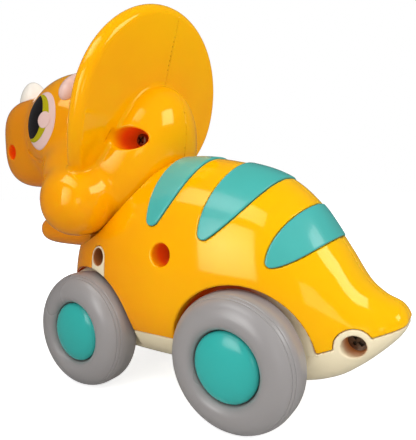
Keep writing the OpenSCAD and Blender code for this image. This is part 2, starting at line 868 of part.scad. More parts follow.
module ratchet_pinion() {
    color(NYLON) translate([S[0], 0, S[1]]) difference() {
        union() {
            slab_y(-pinion_y, pinion_y) gear_2d(pinion_teeth, toward(S, P) + 180 / pinion_teeth);
            slab_y(pinion_y, ratchet_y) difference() {
                circle(ratchet_r);
                for (i = [0:pawl_count - 1]) rotate(360 * i / pawl_count) translate([ratchet_r, 0]) circle(pawl_r);
            }
            along_y([0, 0], -plate_in + play, -pinion_y, sleeve_r);
        }
        along_y([0, 0], -far, far, shaft_r + fit);
    }
}

module clutch_gear() {
    color(NYLON) translate([S[0], 0, S[1]]) difference() {
        union() {
            slab_y(gear_y, gear_y + gear_w) gear_2d(clutch_teeth, toward(S, A));
            along_y([0, 0], gear_y + gear_w, plate_in - play, sleeve_r);
        }
        along_y([0, 0], -far, far, shaft_r + fit);
    }
}

module axle_gear() {
    color(NYLON) translate([A[0], 0, A[1]]) difference() {
        union() {
            slab_y(gear_y, gear_y + gear_w) gear_2d(axle_teeth, toward(A, S) + 180 / axle_teeth);
            along_y([0, 0], -plate_in + play, gear_y, sleeve_r);
        }
        along_y([0, 0], -far, far, axle_r);
    }
}

// Spring: one tube wound on a helix, flat ends on the jaw and under the head's shelf
wire_r = 0.4;
coil_turns = 5;
rings_per_turn = 8;
wire_sides = 6;
coil_r = spring_od / 2 - wire_r;
coil_h = spring_top_z - spring_seat_z - 2 * wire_r;
coil_gap = coil_h / coil_turns - 2 * wire_r;
echo(coil_gap = coil_gap);

module return_spring() {
    steps = coil_turns * rings_per_turn;
    pitch_angle = atan2(coil_h / coil_turns, 2 * PI * coil_r);
    color(STEEL) translate([spring_x, 0, spring_seat_z + wire_r])
        loft([for (i = [0:steps])
            let (a = 360 * i / rings_per_turn, z = coil_h * i / steps,
                 out = [cos(a), sin(a), 0],
                 up = [sin(a) * sin(pitch_angle), -cos(a) * sin(pitch_angle), cos(pitch_angle)])
            [for (j = [0:wire_sides - 1]) let (t = -360 * j / wire_sides)
                coil_r * out + [0, 0, z] + wire_r * (cos(t) * out + sin(t) * up)]]);
}

// Screws: head with a cross slot at the seat, shank down to the end
slot_w = 0.9;
slot_l = 3.2;
slot_deep = 1;

module screw(at, seat_y, end_y, size = 1) {
    down = seat_y > end_y ? 1 : -1;
    head_h = screw_head_h * size;
    translate([at[0], seat_y, at[1]]) rotate([down * -90, 0, 0]) {
        translate([0, 0, -abs(seat_y - end_y)]) cylinder(h = abs(seat_y - end_y), r = screw_r * size);
        difference() {
            cylinder(h = head_h, r = screw_head_d / 2 * size);
            for (a = [0, 90]) rotate(a + 45)
                scale([size, size, 1]) translate([-slot_l / 2, -slot_w / 2, head_h - slot_deep * size])
                    cube([slot_l, slot_w, far]);
        }
    }
}

module head_screws() {
    color(STEEL) screw(neck_screw, neck_floor_y, -thread_l);
}

module body_screws() {
    color(STEEL) {
        screw(flank_screw, plate_out + wall, flank_boss_y + play);
        screw(flank_screw, -plate_out - wall, -flank_boss_y - play);
    }
}

module chassis_screws() {
    color(STEEL) {
        screw(tail_boss, tail_floor_y, -thread_l + 1);
        screw(ear, ear_floor_y, -thread_l + 1);
    }
}

module frame_screws() {
    color(STEEL) for (c = [pillar_top, pillar_low]) screw(c, -plate_out, -plate_in + thread_l - 1, small);
}

body_left();
body_right();
lower_jaw();
stripe_front();
stripe_middle();
stripe_rear();
chassis_left();
chassis_right();
head_left();
head_right();
nose_horn();
brow_horn_left();
brow_horn_right();
tyre_front_left();
tyre_front_right();
tyre_rear_left();
tyre_rear_right();
hub_cap_front_left();
hub_cap_front_right();
hub_cap_rear_left();
hub_cap_rear_right();
front_axle();
rear_axle();
frame_left();
frame_right();
pivot_pin();
press_lever();
gear_shaft();
ratchet_pinion();
clutch_gear();
axle_gear();
return_spring();
head_screws();
body_screws();
chassis_screws();
frame_screws();
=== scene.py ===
import json
import math
from collections import namedtuple
from functools import partial

import bmesh
import bpy
import numpy as np
from bpy.props import FloatProperty, FloatVectorProperty, PointerProperty
from mathutils import Matrix, Vector


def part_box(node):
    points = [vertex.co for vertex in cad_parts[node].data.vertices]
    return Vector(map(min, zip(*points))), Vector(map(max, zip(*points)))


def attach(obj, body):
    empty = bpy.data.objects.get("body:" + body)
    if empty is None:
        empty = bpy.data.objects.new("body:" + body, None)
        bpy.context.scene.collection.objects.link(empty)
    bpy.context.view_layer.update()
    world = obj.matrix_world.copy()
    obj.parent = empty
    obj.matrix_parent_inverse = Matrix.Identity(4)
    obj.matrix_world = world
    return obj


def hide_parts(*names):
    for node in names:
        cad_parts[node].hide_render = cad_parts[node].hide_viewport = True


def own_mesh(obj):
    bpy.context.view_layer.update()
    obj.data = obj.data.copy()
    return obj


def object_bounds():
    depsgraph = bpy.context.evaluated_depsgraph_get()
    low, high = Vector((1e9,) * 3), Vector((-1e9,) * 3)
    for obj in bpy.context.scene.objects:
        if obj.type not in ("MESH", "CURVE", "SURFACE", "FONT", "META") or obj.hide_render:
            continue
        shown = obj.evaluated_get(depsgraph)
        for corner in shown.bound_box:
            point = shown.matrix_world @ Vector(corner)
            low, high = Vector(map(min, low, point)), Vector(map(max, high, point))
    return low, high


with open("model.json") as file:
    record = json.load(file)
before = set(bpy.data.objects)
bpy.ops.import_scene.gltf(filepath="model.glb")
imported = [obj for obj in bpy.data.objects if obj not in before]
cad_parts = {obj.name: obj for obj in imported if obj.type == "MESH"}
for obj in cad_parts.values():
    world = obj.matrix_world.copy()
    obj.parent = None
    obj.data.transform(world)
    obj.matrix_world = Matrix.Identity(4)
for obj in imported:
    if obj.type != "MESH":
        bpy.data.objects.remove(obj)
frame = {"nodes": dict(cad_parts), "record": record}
CAD_BOX = [list(corner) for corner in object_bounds()]

bl_info = {
    "name": "Wheeled triceratops toy",
    "version": (1, 0, 0),
    "blender": (4, 5, 0),
    "location": "View3D > Sidebar > Toy",
    "description": "Moulded shells, inlaid stripes, printed eyes and soft tyres around the toy's frame",
    "category": "Add Mesh",
}

MM = 0.001
SIDES = (("left", 1), ("right", -1))


def srgb(red, green, blue):
    """Linear colour of an 8-bit screen colour."""
    share = np.array([red, green, blue]) / 255
    linear = np.where(share <= 0.04045, share / 12.92, ((share + 0.055) / 1.055) ** 2.4)
    return tuple(float(v) for v in linear)


def node_box(node):
    """Low and high corner of a node of the frame, in millimetres."""
    return [np.array(corner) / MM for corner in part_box(node)]


def axle_place(end):
    """X and Z of the axle between two tyres of the frame: the middle of the box round them."""
    corners = np.concatenate([node_box("tyre_" + end + "_" + side) for side, _ in SIDES])
    return (corners.min(0) + corners.max(0))[[0, 2]] / 2


def length(name, description, default):
    """A size in metres that a user can change."""
    return FloatProperty(name=name, description=description, default=default, unit="LENGTH", precision=5)


def tint(name, description, default):
    """A colour that a user can change."""
    return FloatVectorProperty(name=name, description=description, default=default, subtype="COLOR",
                               min=0.0, max=1.0)


class ToySizes(bpy.types.PropertyGroup):
    """Sizes of the mouldings."""
    cell: length("Mesh cell", "Width of the mesh cells on the shells", 0.00046)
    stripe_cell: length("Stripe cell", "Width of the mesh cells on the stripes", 0.00036)
    wall: length("Wall", "Wall of the body and head shells", 0.002)
    seam: length("Seam edge", "Radius of the edges along the parting lines", 0.00025)
    edge: length("Moulded edge", "Radius of the edges round arches, holes and rims", 0.0005)
    stripe_proud: length("Stripe height", "How far the stripes stand out of the back", 0.0005)
    stripe_gap: length("Stripe groove", "Half of the groove round each stripe", 0.00009)
    stripe_edge: length("Stripe edge", "Radius of the stripes' edges", 0.00045)
    frill_fillet: length("Frill fillet", "Radius of the hollow between the frill and the head", 0.0009)
    print_height: length("Print height", "Height of each layer of the printed eyes", 0.00005)


class ToyColours(bpy.types.PropertyGroup):
    """Colours of the mouldings."""
    yellow: tint("Yellow", "Body and head shells", srgb(250, 176, 0))
    yellow_deep: tint("Deep yellow", "Streaks in the yellow shells", srgb(247, 168, 0))
    # Painted shade: the yellow turns deeper orange low at the front, where it lies in shade; made darker,
    # this colour also draws the seam line
    yellow_warm: tint("Warm yellow", "Yellow shells low at the front", srgb(242, 146, 0))
    # Painted light: the yellow turns lighter at the tail, which the lamps light more
    yellow_light: tint("Light yellow", "Yellow shells at the tail", srgb(252, 186, 0))
    yellow_shine: tint("Yellow shine", "Reflections in the yellow shells", (1.0, 0.9, 0.42))
    glow: tint("Recess glow", "Light that a recess's yellow walls throw on each other", srgb(238, 84, 12))
    stripe: tint("Stripe", "Inlaid stripes", srgb(70, 173, 166))
    hub: tint("Hub", "Hub caps", srgb(48, 173, 165))
    cream: tint("Cream", "Chassis", srgb(237, 223, 188))
    tyre: tint("Tyre", "Soft tyres", srgb(147, 143, 142))
    ivory: tint("Ivory", "Nose horn", srgb(255, 248, 236))
    pearl: tint("Pearl", "Brow horns", srgb(234, 196, 184))
    eye_white: tint("Eye white", "Ground of the printed eyes", srgb(234, 198, 190))
    eye_green: tint("Eye green", "Iris of the printed eyes", srgb(180, 168, 8))
    eye_black: tint("Eye black", "Pupil of the printed eyes", srgb(24, 20, 22))
    steel: tint("Steel", "Axles, pins and spring", srgb(150, 152, 155))
    screw: tint("Screws", "Dark plated screws", srgb(128, 112, 98))
    cream_shade: tint("Cream shade", "Shade in the holes of the chassis", srgb(176, 108, 58))
    nylon: tint("Natural plastic", "Gears, lever and frame", srgb(226, 223, 210))


def sizes():
    """Sizes that the scene holds, in millimetres."""
    group = bpy.context.scene.toy_sizes
    return {key: getattr(group, key) / MM for key in group.__annotations__}


def colours():
    """Colours that the scene holds."""
    group = bpy.context.scene.toy_colours
    return {key: tuple(getattr(group, key)) + (1.0,) for key in group.__annotations__}


# Places and forms in millimetres, in the frame's axes. Rows of the body: share of the length, then top,
# bottom and half width as shares. Masses of the head: middle, half sizes, powers in plan and height, lean
TAIL_X = CAD_BOX[0][0] / MM
CHEST_X = 34.0
BELLY_Z = 9.0
BODY_TOP = 71.0
BODY_HALF = 23.0
TAIL_ROUND = 2
CHEST_ROUND = 5
WAIST = 0.4
TOP_POWER = 2.15
BOTTOM_POWER = 2.5
BODY_ROWS = np.array([
    [0, 0.34, 0.29, 0.19], [0.018, 0.374, 0.245, 0.31], [0.055, 0.405, 0.177, 0.426],
    [0.092, 0.463, 0.119, 0.522], [0.138, 0.593, 0.061, 0.626], [0.202, 0.76, 0.019, 0.757],
    [0.284, 0.887, 0, 0.878], [0.404, 0.961, 0, 0.974], [0.55, 1, 0, 1], [0.688, 0.984, 0, 0.974],
    [0.817, 0.887, 0.01, 0.896], [0.908, 0.774, 0.042, 0.757], [0.972, 0.629, 0.113, 0.5],
    [1, 0.5, 0.242, 0.217]])
RIM_ROWS = np.array([
    [-10.9, 72.5], [-8.9, 69.3], [-5.6, 66], [-2.2, 61.6], [4.6, 54.8], [11.7, 48.8], [17, 45.9],
    [22, 44.1], [28, 42.8], [36, 41.4]])
SPLIT_Z = 20.0
SPLIT_TURN_X = -53.0
SPLIT_TAIL_Z = 28.0
SPLIT_GAP = 0.06
STRIPES = [
    dict(tip=(-11, 51.3), front=((-8.2, 62), (-11.8, 73)), rear=((-18.9, 60), (-23.4, 73)), half=2.3),
    dict(tip=(-27.9, 48.2), front=((-26.4, 58), (-34.6, 73)), rear=((-37.8, 53.6), (-47.6, 68)), half=1.9),
    dict(tip=(-45.6, 42.2), front=((-45.8, 51.5), (-56.5, 60)), rear=((-52.6, 42.4), (-64.5, 53)), half=1.6),
]
STRIPE_NAMES = ("stripe_front", "stripe_middle", "stripe_rear")
STRIPE_DEPTH = 1.2
AXLES = {end: axle_place(end) for end in ("rear", "front")}
REAR_AXLE = AXLES["rear"]
TYRE_R = np.ptp(node_box("tyre_rear_left"), axis=0)[2] / 2
ARCH_R = TYRE_R + 1.3
WELL_Y = 15.25
WELL_T = 1.4
FLANGE_Y = 12.85
FLANK_SCREW = (-15.6, 43.5)
FLANK_FLOOR_Y = 13.0
NECK_SCREW = (2.2, 77.2)
NECK_FLOOR_Y = 6.5
NECK_MOUTH_Y = 18.5
NECK_RECESS = ((0.4, 76.9), 5.0, 3.3)
NECK_LIP = 1.5
NECK_ROUND = 1.4
TAIL_BOSS = (-64.4, 23.4)
TAIL_BOSS_R = 4.2
TAIL_FLOOR_Y = 5.0
TAIL_HOLE_R = 2.7
TAIL_MOUTH_Y = 13.0
EAR = (10.5, 41.0)
EAR_R = 3.3
EAR_HOLE_R = 2.6
EAR_FLOOR_Y = 9.0
RECESS_R = 3.2
POST_R = 4.4
SCREW_R = 1.35
FIT = 0.15
HEAD_MASSES = [
    ((35, 0, 83), (22, 20.5, 21.5), 2, 2, 0),
    ((58.5, 0, 80.8), (16.5, 14.8, 17.2), 2.3, 3, 0),
    ((22.5, 0, 66.5), (18, 25.5, 15.5), 2.2, 2.2, 0),
    ((17.6, 21.5, 58.3), (11, 10.3, 10.6), 2.1, 2.1, 0),
    ((17.6, -21.5, 58.3), (11, 10.3, 10.6), 2.1, 2.1, 0),
    ((8, 0, 68.8), (16, 18.5, 26.2), 2, 2.1, 0.28),
]
HEAD_MELT = 8.0
HEAD_SCALE = 17.0
FRILL_MID = (3.8, 86.5)
FRILL_R = 33.0
FRILL_T = 5.4
FRILL_LEAN = math.radians(18)
FRILL_DROP = 26.0
FRILL_BEND = 0.008
FRILL_DRAW = 0.0138
NOSTRIL = (61.6, 77.0)
NOSTRIL_R = 2.7
NOSTRIL_FLOOR_Y = 9.0
NOSTRIL_MOUTH_Y = 16.0
NOSTRIL_BACK = 1.0
THROAT = np.array([[-40, 20], [-40, 40], [-8, 48.8], [6.5, 56.9], [9.5, 56.9], [12, 53], [36, 53], [36, 20]],
                  float)
THROAT_Y = 12.2
SMILE = np.array([
    [49.6, 15.4, 76.4], [48, 15.7, 74.7], [45.7, 16.2, 73.6], [42.8, 17.1, 72.7], [38, 18.9, 72]])
SMILE_R = 0.55
PIVOT = (19.0, 59.0)
PIVOT_BOSS_R = 4.6
PIVOT_BOSS_Y = 11.6
SPRING_X = 30.0
SPRING_TOP_Z = 58.0
WELL_R = 3.3
WELL_FLARE = 0.4
WELL_POST_R = 7.0


def rows_at(rows, at):
    """Cubic Hermite curve through rows of (place, values...): the slope at a row is that between its
    neighbours, and the values at each place blend by the four Hermite weights."""
    place = rows[:, 0]
    last = len(rows) - 1
    index = np.arange(len(rows))
    before = np.maximum(index - 1, 0)
    after = np.minimum(index + 1, last)
    slope = (rows[after] - rows[before]) / (place[after] - place[before])[:, None]
    at = np.asarray(at, float)
    i = np.clip(np.searchsorted(place, at) - 1, 0, last - 1)
    step = (place[i + 1] - place[i])[..., None]
    t = np.clip((at - place[i])[..., None] / step, 0, 1)
    value = (rows[i] * (2 * t**3 - 3 * t**2 + 1) + slope[i] * step * (t**3 - 2 * t**2 + t)
             + rows[i + 1] * (3 * t**2 - 2 * t**3) + slope[i + 1] * step * (t**3 - t**2))
    return np.moveaxis(value, -1, 0)


# Fields: negative inside a form, near its distance in millimetres

def both(a, b, radius=0.0):
    """Field of what lies in a and in b; the edge where they meet is rounded to the radius."""
    corner = np.hypot(np.maximum(a + radius, 0), np.maximum(b + radius, 0))
    return np.minimum(np.maximum(a, b), -radius) + corner


def either(a, b, radius=0.0):
    """Field of what lies in a or in b; the hollow where they meet is filled to the radius."""
    return -both(-a, -b, radius)


def without(a, b, radius=0.0):
    """Field of a with b cut out; the edge of the cut is rounded to the radius."""
    return both(a, -b, radius)


def bar(centre, radius, x, z):
    """Field of an endless bar along Y: distance to its axis less the radius."""
    return np.hypot(x - centre[0], z - centre[1]) - radius


def hole(centre, radius, floor, x, y, z):
    """Field of a bar along Y that starts at a floor and goes outwards without end."""
    return np.maximum(bar(centre, radius, x, z), floor - y)


def oval_bar(oval, grow, x, z):
    """Field of an endless oval bar along Y: the level of the oval, less one, times its mean half size."""
    (ox, oz), a, b = oval
    return (np.hypot((x - ox) / (a + grow), (z - oz) / (b + grow)) - 1) * (a + b) / 2


def strip(start, end, radius, x, z):
    """Field of a round-ended strip in the side view: distance to its middle line less the radius."""
    along = np.subtract(end, start)
    t = np.clip(((x - start[0]) * along[0] + (z - start[1]) * along[1]) / (along @ along), 0, 1)
    return np.hypot(x - start[0] - t * along[0], z - start[1] - t * along[1]) - radius


def groove(points, radius, x, y, z):
    """Field of a round rod along straight spans: least distance to a span less the radius."""
    nearest = np.inf
    for start, end in zip(points[:-1], points[1:]):
        along = end - start
        t = np.clip(((x - start[0]) * along[0] + (y - start[1]) * along[1] + (z - start[2]) * along[2])
                    / (along @ along), 0, 1)
        gap = np.sqrt((x - start[0] - t * along[0])**2 + (y - start[1] - t * along[1])**2
                      + (z - start[2] - t * along[2])**2)
        nearest = np.minimum(nearest, gap)
    return nearest - radius


def outline(points, x, z, reach=4.0):
    """Field of a closed outline in the side view: least distance to its sides, negative where a ray
    crosses them an odd number of times. Past the reach only the distance to its box is given."""
    x, z = np.broadcast_arrays(x, z)
    low = points.min(0)
    high = points.max(0)
    away = np.hypot(np.maximum(np.maximum(low[0] - x, x - high[0]), 0),
                    np.maximum(np.maximum(low[1] - z, z - high[1]), 0))
    field = away + 0.0
    near = away < reach
    px = x[near][:, None]
    pz = z[near][:, None]
    ax, az = points.T
    bx, bz = np.roll(points, -1, 0).T
    t = np.clip(((px - ax) * (bx - ax) + (pz - az) * (bz - az)) / ((bx - ax)**2 + (bz - az)**2), 0, 1)
    gap = np.hypot(px - ax - t * (bx - ax), pz - az - t * (bz - az)).min(1)
    cross = ((az > pz) != (bz > pz)) & (px < ax + (pz - az) * (bx - ax) / np.where(bz == az, 1, bz - az))
    field[near] = np.where(cross.sum(1) % 2 == 1, -gap, gap)
    return field


def body_field(x, y, z):
    """Body: superellipse sections along X, whose top, bottom and half width follow the rows. The value
    is the part of the way from the section's middle to the point that lies outside the section."""
    share = np.clip((x - TAIL_X) / (CHEST_X - TAIL_X), 0, 1)
    top, bottom, half = rows_at(BODY_ROWS, share)[1:]
    rise = BODY_TOP - BELLY_Z
    top = BELLY_Z + top * rise
    bottom = BELLY_Z + bottom * rise
    middle = bottom + WAIST * (top - bottom)
    up = z > middle
    power = np.where(up, TOP_POWER, BOTTOM_POWER)
    high = np.where(up, top - middle, middle - bottom)
    level = ((np.abs(y) / (half * BODY_HALF))**power + (np.abs(z - middle) / high)**power)**(1 / power)
    return (1 - 1 / np.maximum(level, 1e-3)) * np.hypot(y, z - middle)


def capped(size, form, x):
    """Field of a form that ends at the tail and at the chest, with round edges there."""
    shell = both(form, TAIL_X - x, size["edge"] * TAIL_ROUND)
    return both(shell, x - CHEST_X, size["edge"] * CHEST_ROUND)


def inside(size, form, x):
    """Field of what lies deeper in a form than its wall, and further than that from both ends."""
    return np.maximum(form, np.maximum(TAIL_X - x, x - CHEST_X)) + size["wall"]


def split_field(x, z):
    """Field of what lies below the line between body and chassis: level, then rising to the tail."""
    rise = (SPLIT_TAIL_Z - SPLIT_Z) / (SPLIT_TURN_X - TAIL_X)
    line = SPLIT_Z + rise * np.maximum(SPLIT_TURN_X - x, 0)
    return (z - line) / np.where(x < SPLIT_TURN_X, math.hypot(1, rise), 1)


def neck_field(x, z):
    """Field of the body's opening round the neck: height above the rim's curve, set square to it."""
    line = rows_at(RIM_ROWS, x)[1]
    step = 0.5
    slope = (rows_at(RIM_ROWS, x + step)[1] - rows_at(RIM_ROWS, x - step)[1]) / (2 * step)
    steep = (RIM_ROWS[1] - RIM_ROWS[0])[1] / (RIM_ROWS[1] - RIM_ROWS[0])[0]
    before = np.maximum(RIM_ROWS[0, 0] - x, 0)
    return (line - steep * before - z) / np.hypot(1, np.where(before > 0, steep, slope))


def arch_field(radius, start_y, x, y, z):
    """Field of the two wheel arches: bars round the axles that start at a distance from the middle."""
    return np.minimum(*[hole(axle, radius, start_y, x, y, z) for axle in AXLES.values()])


def tip_tangent(centre, radius, point, turned):
    """Angle round a circle at which the line from a point outside touches it, on the chosen side."""
    along = np.subtract(point, centre)
    return math.atan2(along[1], along[0]) + turned * math.acos(radius / math.hypot(*along))


def stripe_outline(shape, steps=14):
    """Side outline of a stripe: an arc round the tip, then one curve of second order up each edge, which
    leaves the arc along its tangent."""
    half = shape["half"]
    front = np.array(shape["front"], float)
    rear = np.array(shape["rear"], float)
    up = (front[1] + rear[1]) / 2 - shape["tip"]
    centre = shape["tip"] + up / np.hypot(*up) * half
    start = tip_tangent(centre, half, rear[0], 1)
    end = tip_tangent(centre, half, front[0], -1)
    turn = np.linspace(start, start + (end - start) % (2 * np.pi), steps + 1)[:, None]
    cap = centre + half * np.concatenate([np.cos(turn), np.sin(turn)], 1)
    t = np.linspace(0, 1, steps + 1)[1:, None]
    ahead = (1 - t)**2 * cap[-1] + 2 * t * (1 - t) * front[0] + t**2 * front[1]
    behind = (1 - t)**2 * cap[0] + 2 * t * (1 - t) * rear[0] + t**2 * rear[1]
    return np.concatenate([cap, ahead, behind[::-1]])


STRIPE_OUTLINES = [stripe_outline(shape) for shape in STRIPES]


def body_half(size, x, y, z):
    """Left body shell: the body form less its hollow, the chassis side, the neck opening, the wheel
    arches, the seats of the stripes, and the screw holes."""
    form = body_field(x, y, z)
    posts = np.minimum(bar(FLANK_SCREW, POST_R, x, z), arch_field(ARCH_R + size["wall"], FLANGE_Y, x, y, z))
    shell = without(capped(size, form, x), split_field(x, z) - SPLIT_GAP, size["seam"])
    shell = both(shell, -y, size["seam"] / 2)
    shell = without(shell, neck_field(x, z), size["edge"])
    shell = without(shell, arch_field(ARCH_R, FLANGE_Y, x, y, z), size["edge"])
    shell = without(shell, bar(TAIL_BOSS, TAIL_BOSS_R + FIT, x, z), size["seam"])
    shell = without(shell, strip((EAR[0], REAR_AXLE[1]), EAR, EAR_R + FIT, x, z), size["seam"])
    for points in STRIPE_OUTLINES:
        seat = both(outline(points, x, z) - size["stripe_gap"], -form - STRIPE_DEPTH)
        shell = without(shell, seat, size["seam"])
    shell = without(shell, hole(FLANK_SCREW, RECESS_R, FLANK_FLOOR_Y, x, y, z), size["edge"])
    shell = without(shell, bar(FLANK_SCREW, SCREW_R, x, z))
    return np.maximum(shell, -np.maximum(inside(size, form, x), -posts))


def stripe_form(size, points, x, y, z):
    """Stripe: a slice of the body's skin inside the outline, a little proud, with round edges."""
    form = body_field(x, y, z)
    slab = both(form - size["stripe_proud"], outline(points, x, z) + size["stripe_gap"], size["stripe_edge"])
    return np.maximum(slab, -form - STRIPE_DEPTH + FIT)


def chassis_half(size, left, x, y, z):
    """Chassis half: the lower body form with screw ears, wheel guards and axle bosses, less its hollow."""
    form = body_field(x, y, z)
    tail = bar(TAIL_BOSS, TAIL_BOSS_R, x, z)
    ear = strip((EAR[0], REAR_AXLE[1] + ARCH_R - EAR_R), EAR, EAR_R, x, z)
    guards = np.maximum(arch_field(ARCH_R - FIT, WELL_Y - WELL_T, x, y, z), y - WELL_Y)
    bosses = np.minimum(np.minimum(tail, ear), guards)
    shell = both(capped(size, form, x), np.minimum(split_field(x, z) + SPLIT_GAP, bosses), size["seam"])
    shell = both(shell, -y, size["seam"] / 2)
    shell = without(shell, arch_field(ARCH_R, WELL_Y, x, y, z), size["edge"])
    if left:
        shell = without(shell, hole(TAIL_BOSS, TAIL_HOLE_R, TAIL_FLOOR_Y, x, y, z), size["edge"])
        shell = without(shell, hole(EAR, EAR_HOLE_R, EAR_FLOOR_Y, x, y, z), size["seam"])
    for axle in AXLES.values():
        shell = without(shell, bar(axle, SCREW_R + FIT, x, z))
    return np.maximum(shell, -np.maximum(inside(size, form, x), -bosses))


def head_field(x, y, z):
    """Head: rounded masses melted together. Each mass is 1 on its skin and grows outwards; the powers of
    all the masses add up, so near masses flow into one form."""
    total = 0
    for centre, half, plan, height, lean in HEAD_MASSES:
        ahead = x - centre[0] + lean * (z - centre[2])
        flat = np.abs(ahead / half[0])**plan + np.abs((y - centre[1]) / half[1])**plan + 1e-9
        level = flat**(height / plan) + np.abs((z - centre[2]) / half[2])**height
        total = total + level**(-HEAD_MELT / height)
    return (total**(-1 / HEAD_MELT) - 1) * HEAD_SCALE


def frill_field(x, y, z):
    """Frill: a leaning round-edged disc, whose part below the middle bends forward and draws in by the
    square of the depth. The value is the distance to its middle sheet less half the thickness."""
    ahead = (x - FRILL_MID[0]) * math.cos(FRILL_LEAN) + (z - FRILL_MID[1]) * math.sin(FRILL_LEAN)
    above = (z - FRILL_MID[1]) * math.cos(FRILL_LEAN) - (x - FRILL_MID[0]) * math.sin(FRILL_LEAN)
    deep = np.maximum(-above, 0)
    edge = FRILL_T / 2
    flat = FRILL_R - edge
    out = np.where(above > 0, np.hypot(y, above), np.abs(y) + FRILL_DRAW * deep**2) - flat
    off = (ahead - FRILL_BEND * deep**2) / np.hypot(1, 2 * FRILL_BEND * deep)
    sheet = np.hypot(np.maximum(out, 0), off) - edge
    return np.maximum(sheet, deep - FRILL_DROP)


def head_half(size, left, x, y, z):
    """Head half: the melted masses and the frill, less the hollow, the throat, the nostril, the mouth's
    crease, the flared well of the return spring and, on the left, the screw recess in the neck."""
    form = head_field(x, y, z)
    posts = np.minimum(oval_bar(NECK_RECESS, POST_R - RECESS_R, x, z),
                       hole(PIVOT, PIVOT_BOSS_R, PIVOT_BOSS_Y, x, y, z))
    nose = hole(NOSTRIL, NOSTRIL_R + size["wall"], NOSTRIL_FLOOR_Y - NOSTRIL_BACK, x, y, z)
    off = np.hypot(x - SPRING_X, y)
    seat = np.maximum(off - WELL_POST_R, z - SPRING_TOP_Z - size["wall"])
    posts = np.minimum(np.minimum(posts, nose), seat)
    well = np.maximum(off - WELL_R - WELL_FLARE * (SPRING_TOP_Z - z), z - SPRING_TOP_Z - FIT)
    hollow = np.maximum(form + size["wall"], -posts)
    shell = either(form, frill_field(x, y, z), size["frill_fillet"])
    shell = without(shell, groove(SMILE, SMILE_R, x, y, z), size["edge"])
    shell = both(shell, -y, size["seam"] / 4)
    shell = without(shell, np.maximum(outline(THROAT, x, z), y - THROAT_Y), size["edge"])
    shell = without(shell, well)
    shell = without(shell, hole(NOSTRIL, NOSTRIL_R, NOSTRIL_FLOOR_Y, x, y, z), size["edge"])
    shell = without(shell, np.maximum(bar(NECK_SCREW, SCREW_R, x, z), y - NECK_FLOOR_Y))
    if left:
        mouth = np.maximum(NECK_FLOOR_Y - y, form - NECK_LIP)
        shell = without(shell, np.maximum(oval_bar(NECK_RECESS, 0.0, x, z), mouth), size["edge"] * NECK_ROUND)
    return np.maximum(shell, -hollow)


# Meshes: least square of a slope that points slide along, and the longest slide as a share of a cell
LEAST_SLOPE = 0.05
LONGEST_SLIDE = 0.4


def slope_of(field, points, step=0.02):
    """Slope of a field at points, from differences over a small step along each axis."""
    x, y, z = points.T
    return np.stack([field(x + step, y, z) - field(x - step, y, z),
                     field(x, y + step, z) - field(x, y - step, z),
                     field(x, y, z + step) - field(x, y, z - step)], 1) / (2 * step)


def level_mesh(field, low, high, cell, settle=4):
    """Zero level of a field in a box. Each grid cell that the level crosses gets a vertex at the mean of
    its crossings, and each crossed grid edge a quad. The vertices then slide along the slope to the level."""
    axes = [np.arange(a - 2 * cell, b + 3 * cell, cell) for a, b in zip(low, high)]
    shape = tuple(len(axis) for axis in axes)
    value = np.broadcast_to(field(*np.meshgrid(*axes, indexing="ij", sparse=True)), shape)
    value = np.where(value == 0, 1e-9, value)
    cells, crossings, quads = [], [], []
    for a in range(3):
        ahead = np.take(value, np.arange(1, shape[a]), a)
        here = np.take(value, np.arange(shape[a] - 1), a)
        crossed = (here < 0) != (ahead < 0)
        at = np.argwhere(crossed)
        first = here[crossed]
        point = at.astype(float)
        point[:, a] += first / (first - ahead[crossed])
        b, c = np.eye(3, dtype=int)[[(a + 1) % 3, (a + 2) % 3]]
        corner = np.stack([np.ravel_multi_index((at - step).T, shape) for step in (0 * b, b, b + c, c)], 1)
        quads.append(np.where((first < 0)[:, None], corner, corner[:, ::-1]))
        cells.append(corner.ravel())
        crossings.append(np.repeat(point, 4, 0))
    used, index = np.unique(np.concatenate(cells), return_inverse=True)
    crossings = np.concatenate(crossings)
    count = np.bincount(index)
    points = np.stack([np.bincount(index, crossings[:, a]) / count for a in range(3)], 1)
    points = np.array([axis[0] for axis in axes]) + points * cell
    faces = np.searchsorted(used, np.concatenate(quads))
    for _ in range(settle):
        slope = slope_of(field, points)
        steep = np.maximum((slope**2).sum(1), LEAST_SLOPE)
        move = slope * (field(*points.T) / steep)[:, None]
        far = np.maximum(np.linalg.norm(move, axis=1) / (LONGEST_SLIDE * cell), 1)
        points = points - move / far[:, None]
    slope = slope_of(field, points)
    return points, faces, slope / np.maximum(np.linalg.norm(slope, axis=1), 1e-6)[:, None]


def piece(name, material, points, faces, normals=None):
    """Object at the origin from points in millimetres and quads, shaded smooth."""
    mesh = bpy.data.meshes.new(name)
    mesh.vertices.add(len(points))
    mesh.vertices.foreach_set("co", (points * MM).ravel())
    mesh.loops.add(faces.size)
    mesh.loops.foreach_set("vertex_index", faces.ravel())
    mesh.polygons.add(len(faces))
    mesh.polygons.foreach_set("loop_start", np.arange(len(faces)) * faces.shape[1])
    mesh.update(calc_edges=True)
    mesh.shade_smooth()
    if normals is not None:
        mesh.normals_split_custom_set_from_vertices(normals)
    mesh.materials.append(material)
    made = bpy.data.objects.new(name, mesh)
    bpy.context.scene.collection.objects.link(made)
    return made


def close_up(made, reach=2e-6):
    """Merges the points that meet at a surface's seam and poles, and turns its faces outwards."""
    work = bmesh.new()
    work.from_mesh(made.data)
    bmesh.ops.remove_doubles(work, verts=work.verts, dist=reach)
    bmesh.ops.recalc_face_normals(work, faces=work.faces)
    work.to_mesh(made.data)
    work.free()
    made.data.shade_smooth()
    return made


def grid_faces(rows, columns):
    """Quads over a grid of points stored row by row."""
    corner = (np.arange(rows - 1)[:, None] * columns + np.arange(columns - 1)).ravel()
    return np.stack([corner, corner + 1, corner + columns + 1, corner + columns], 1)


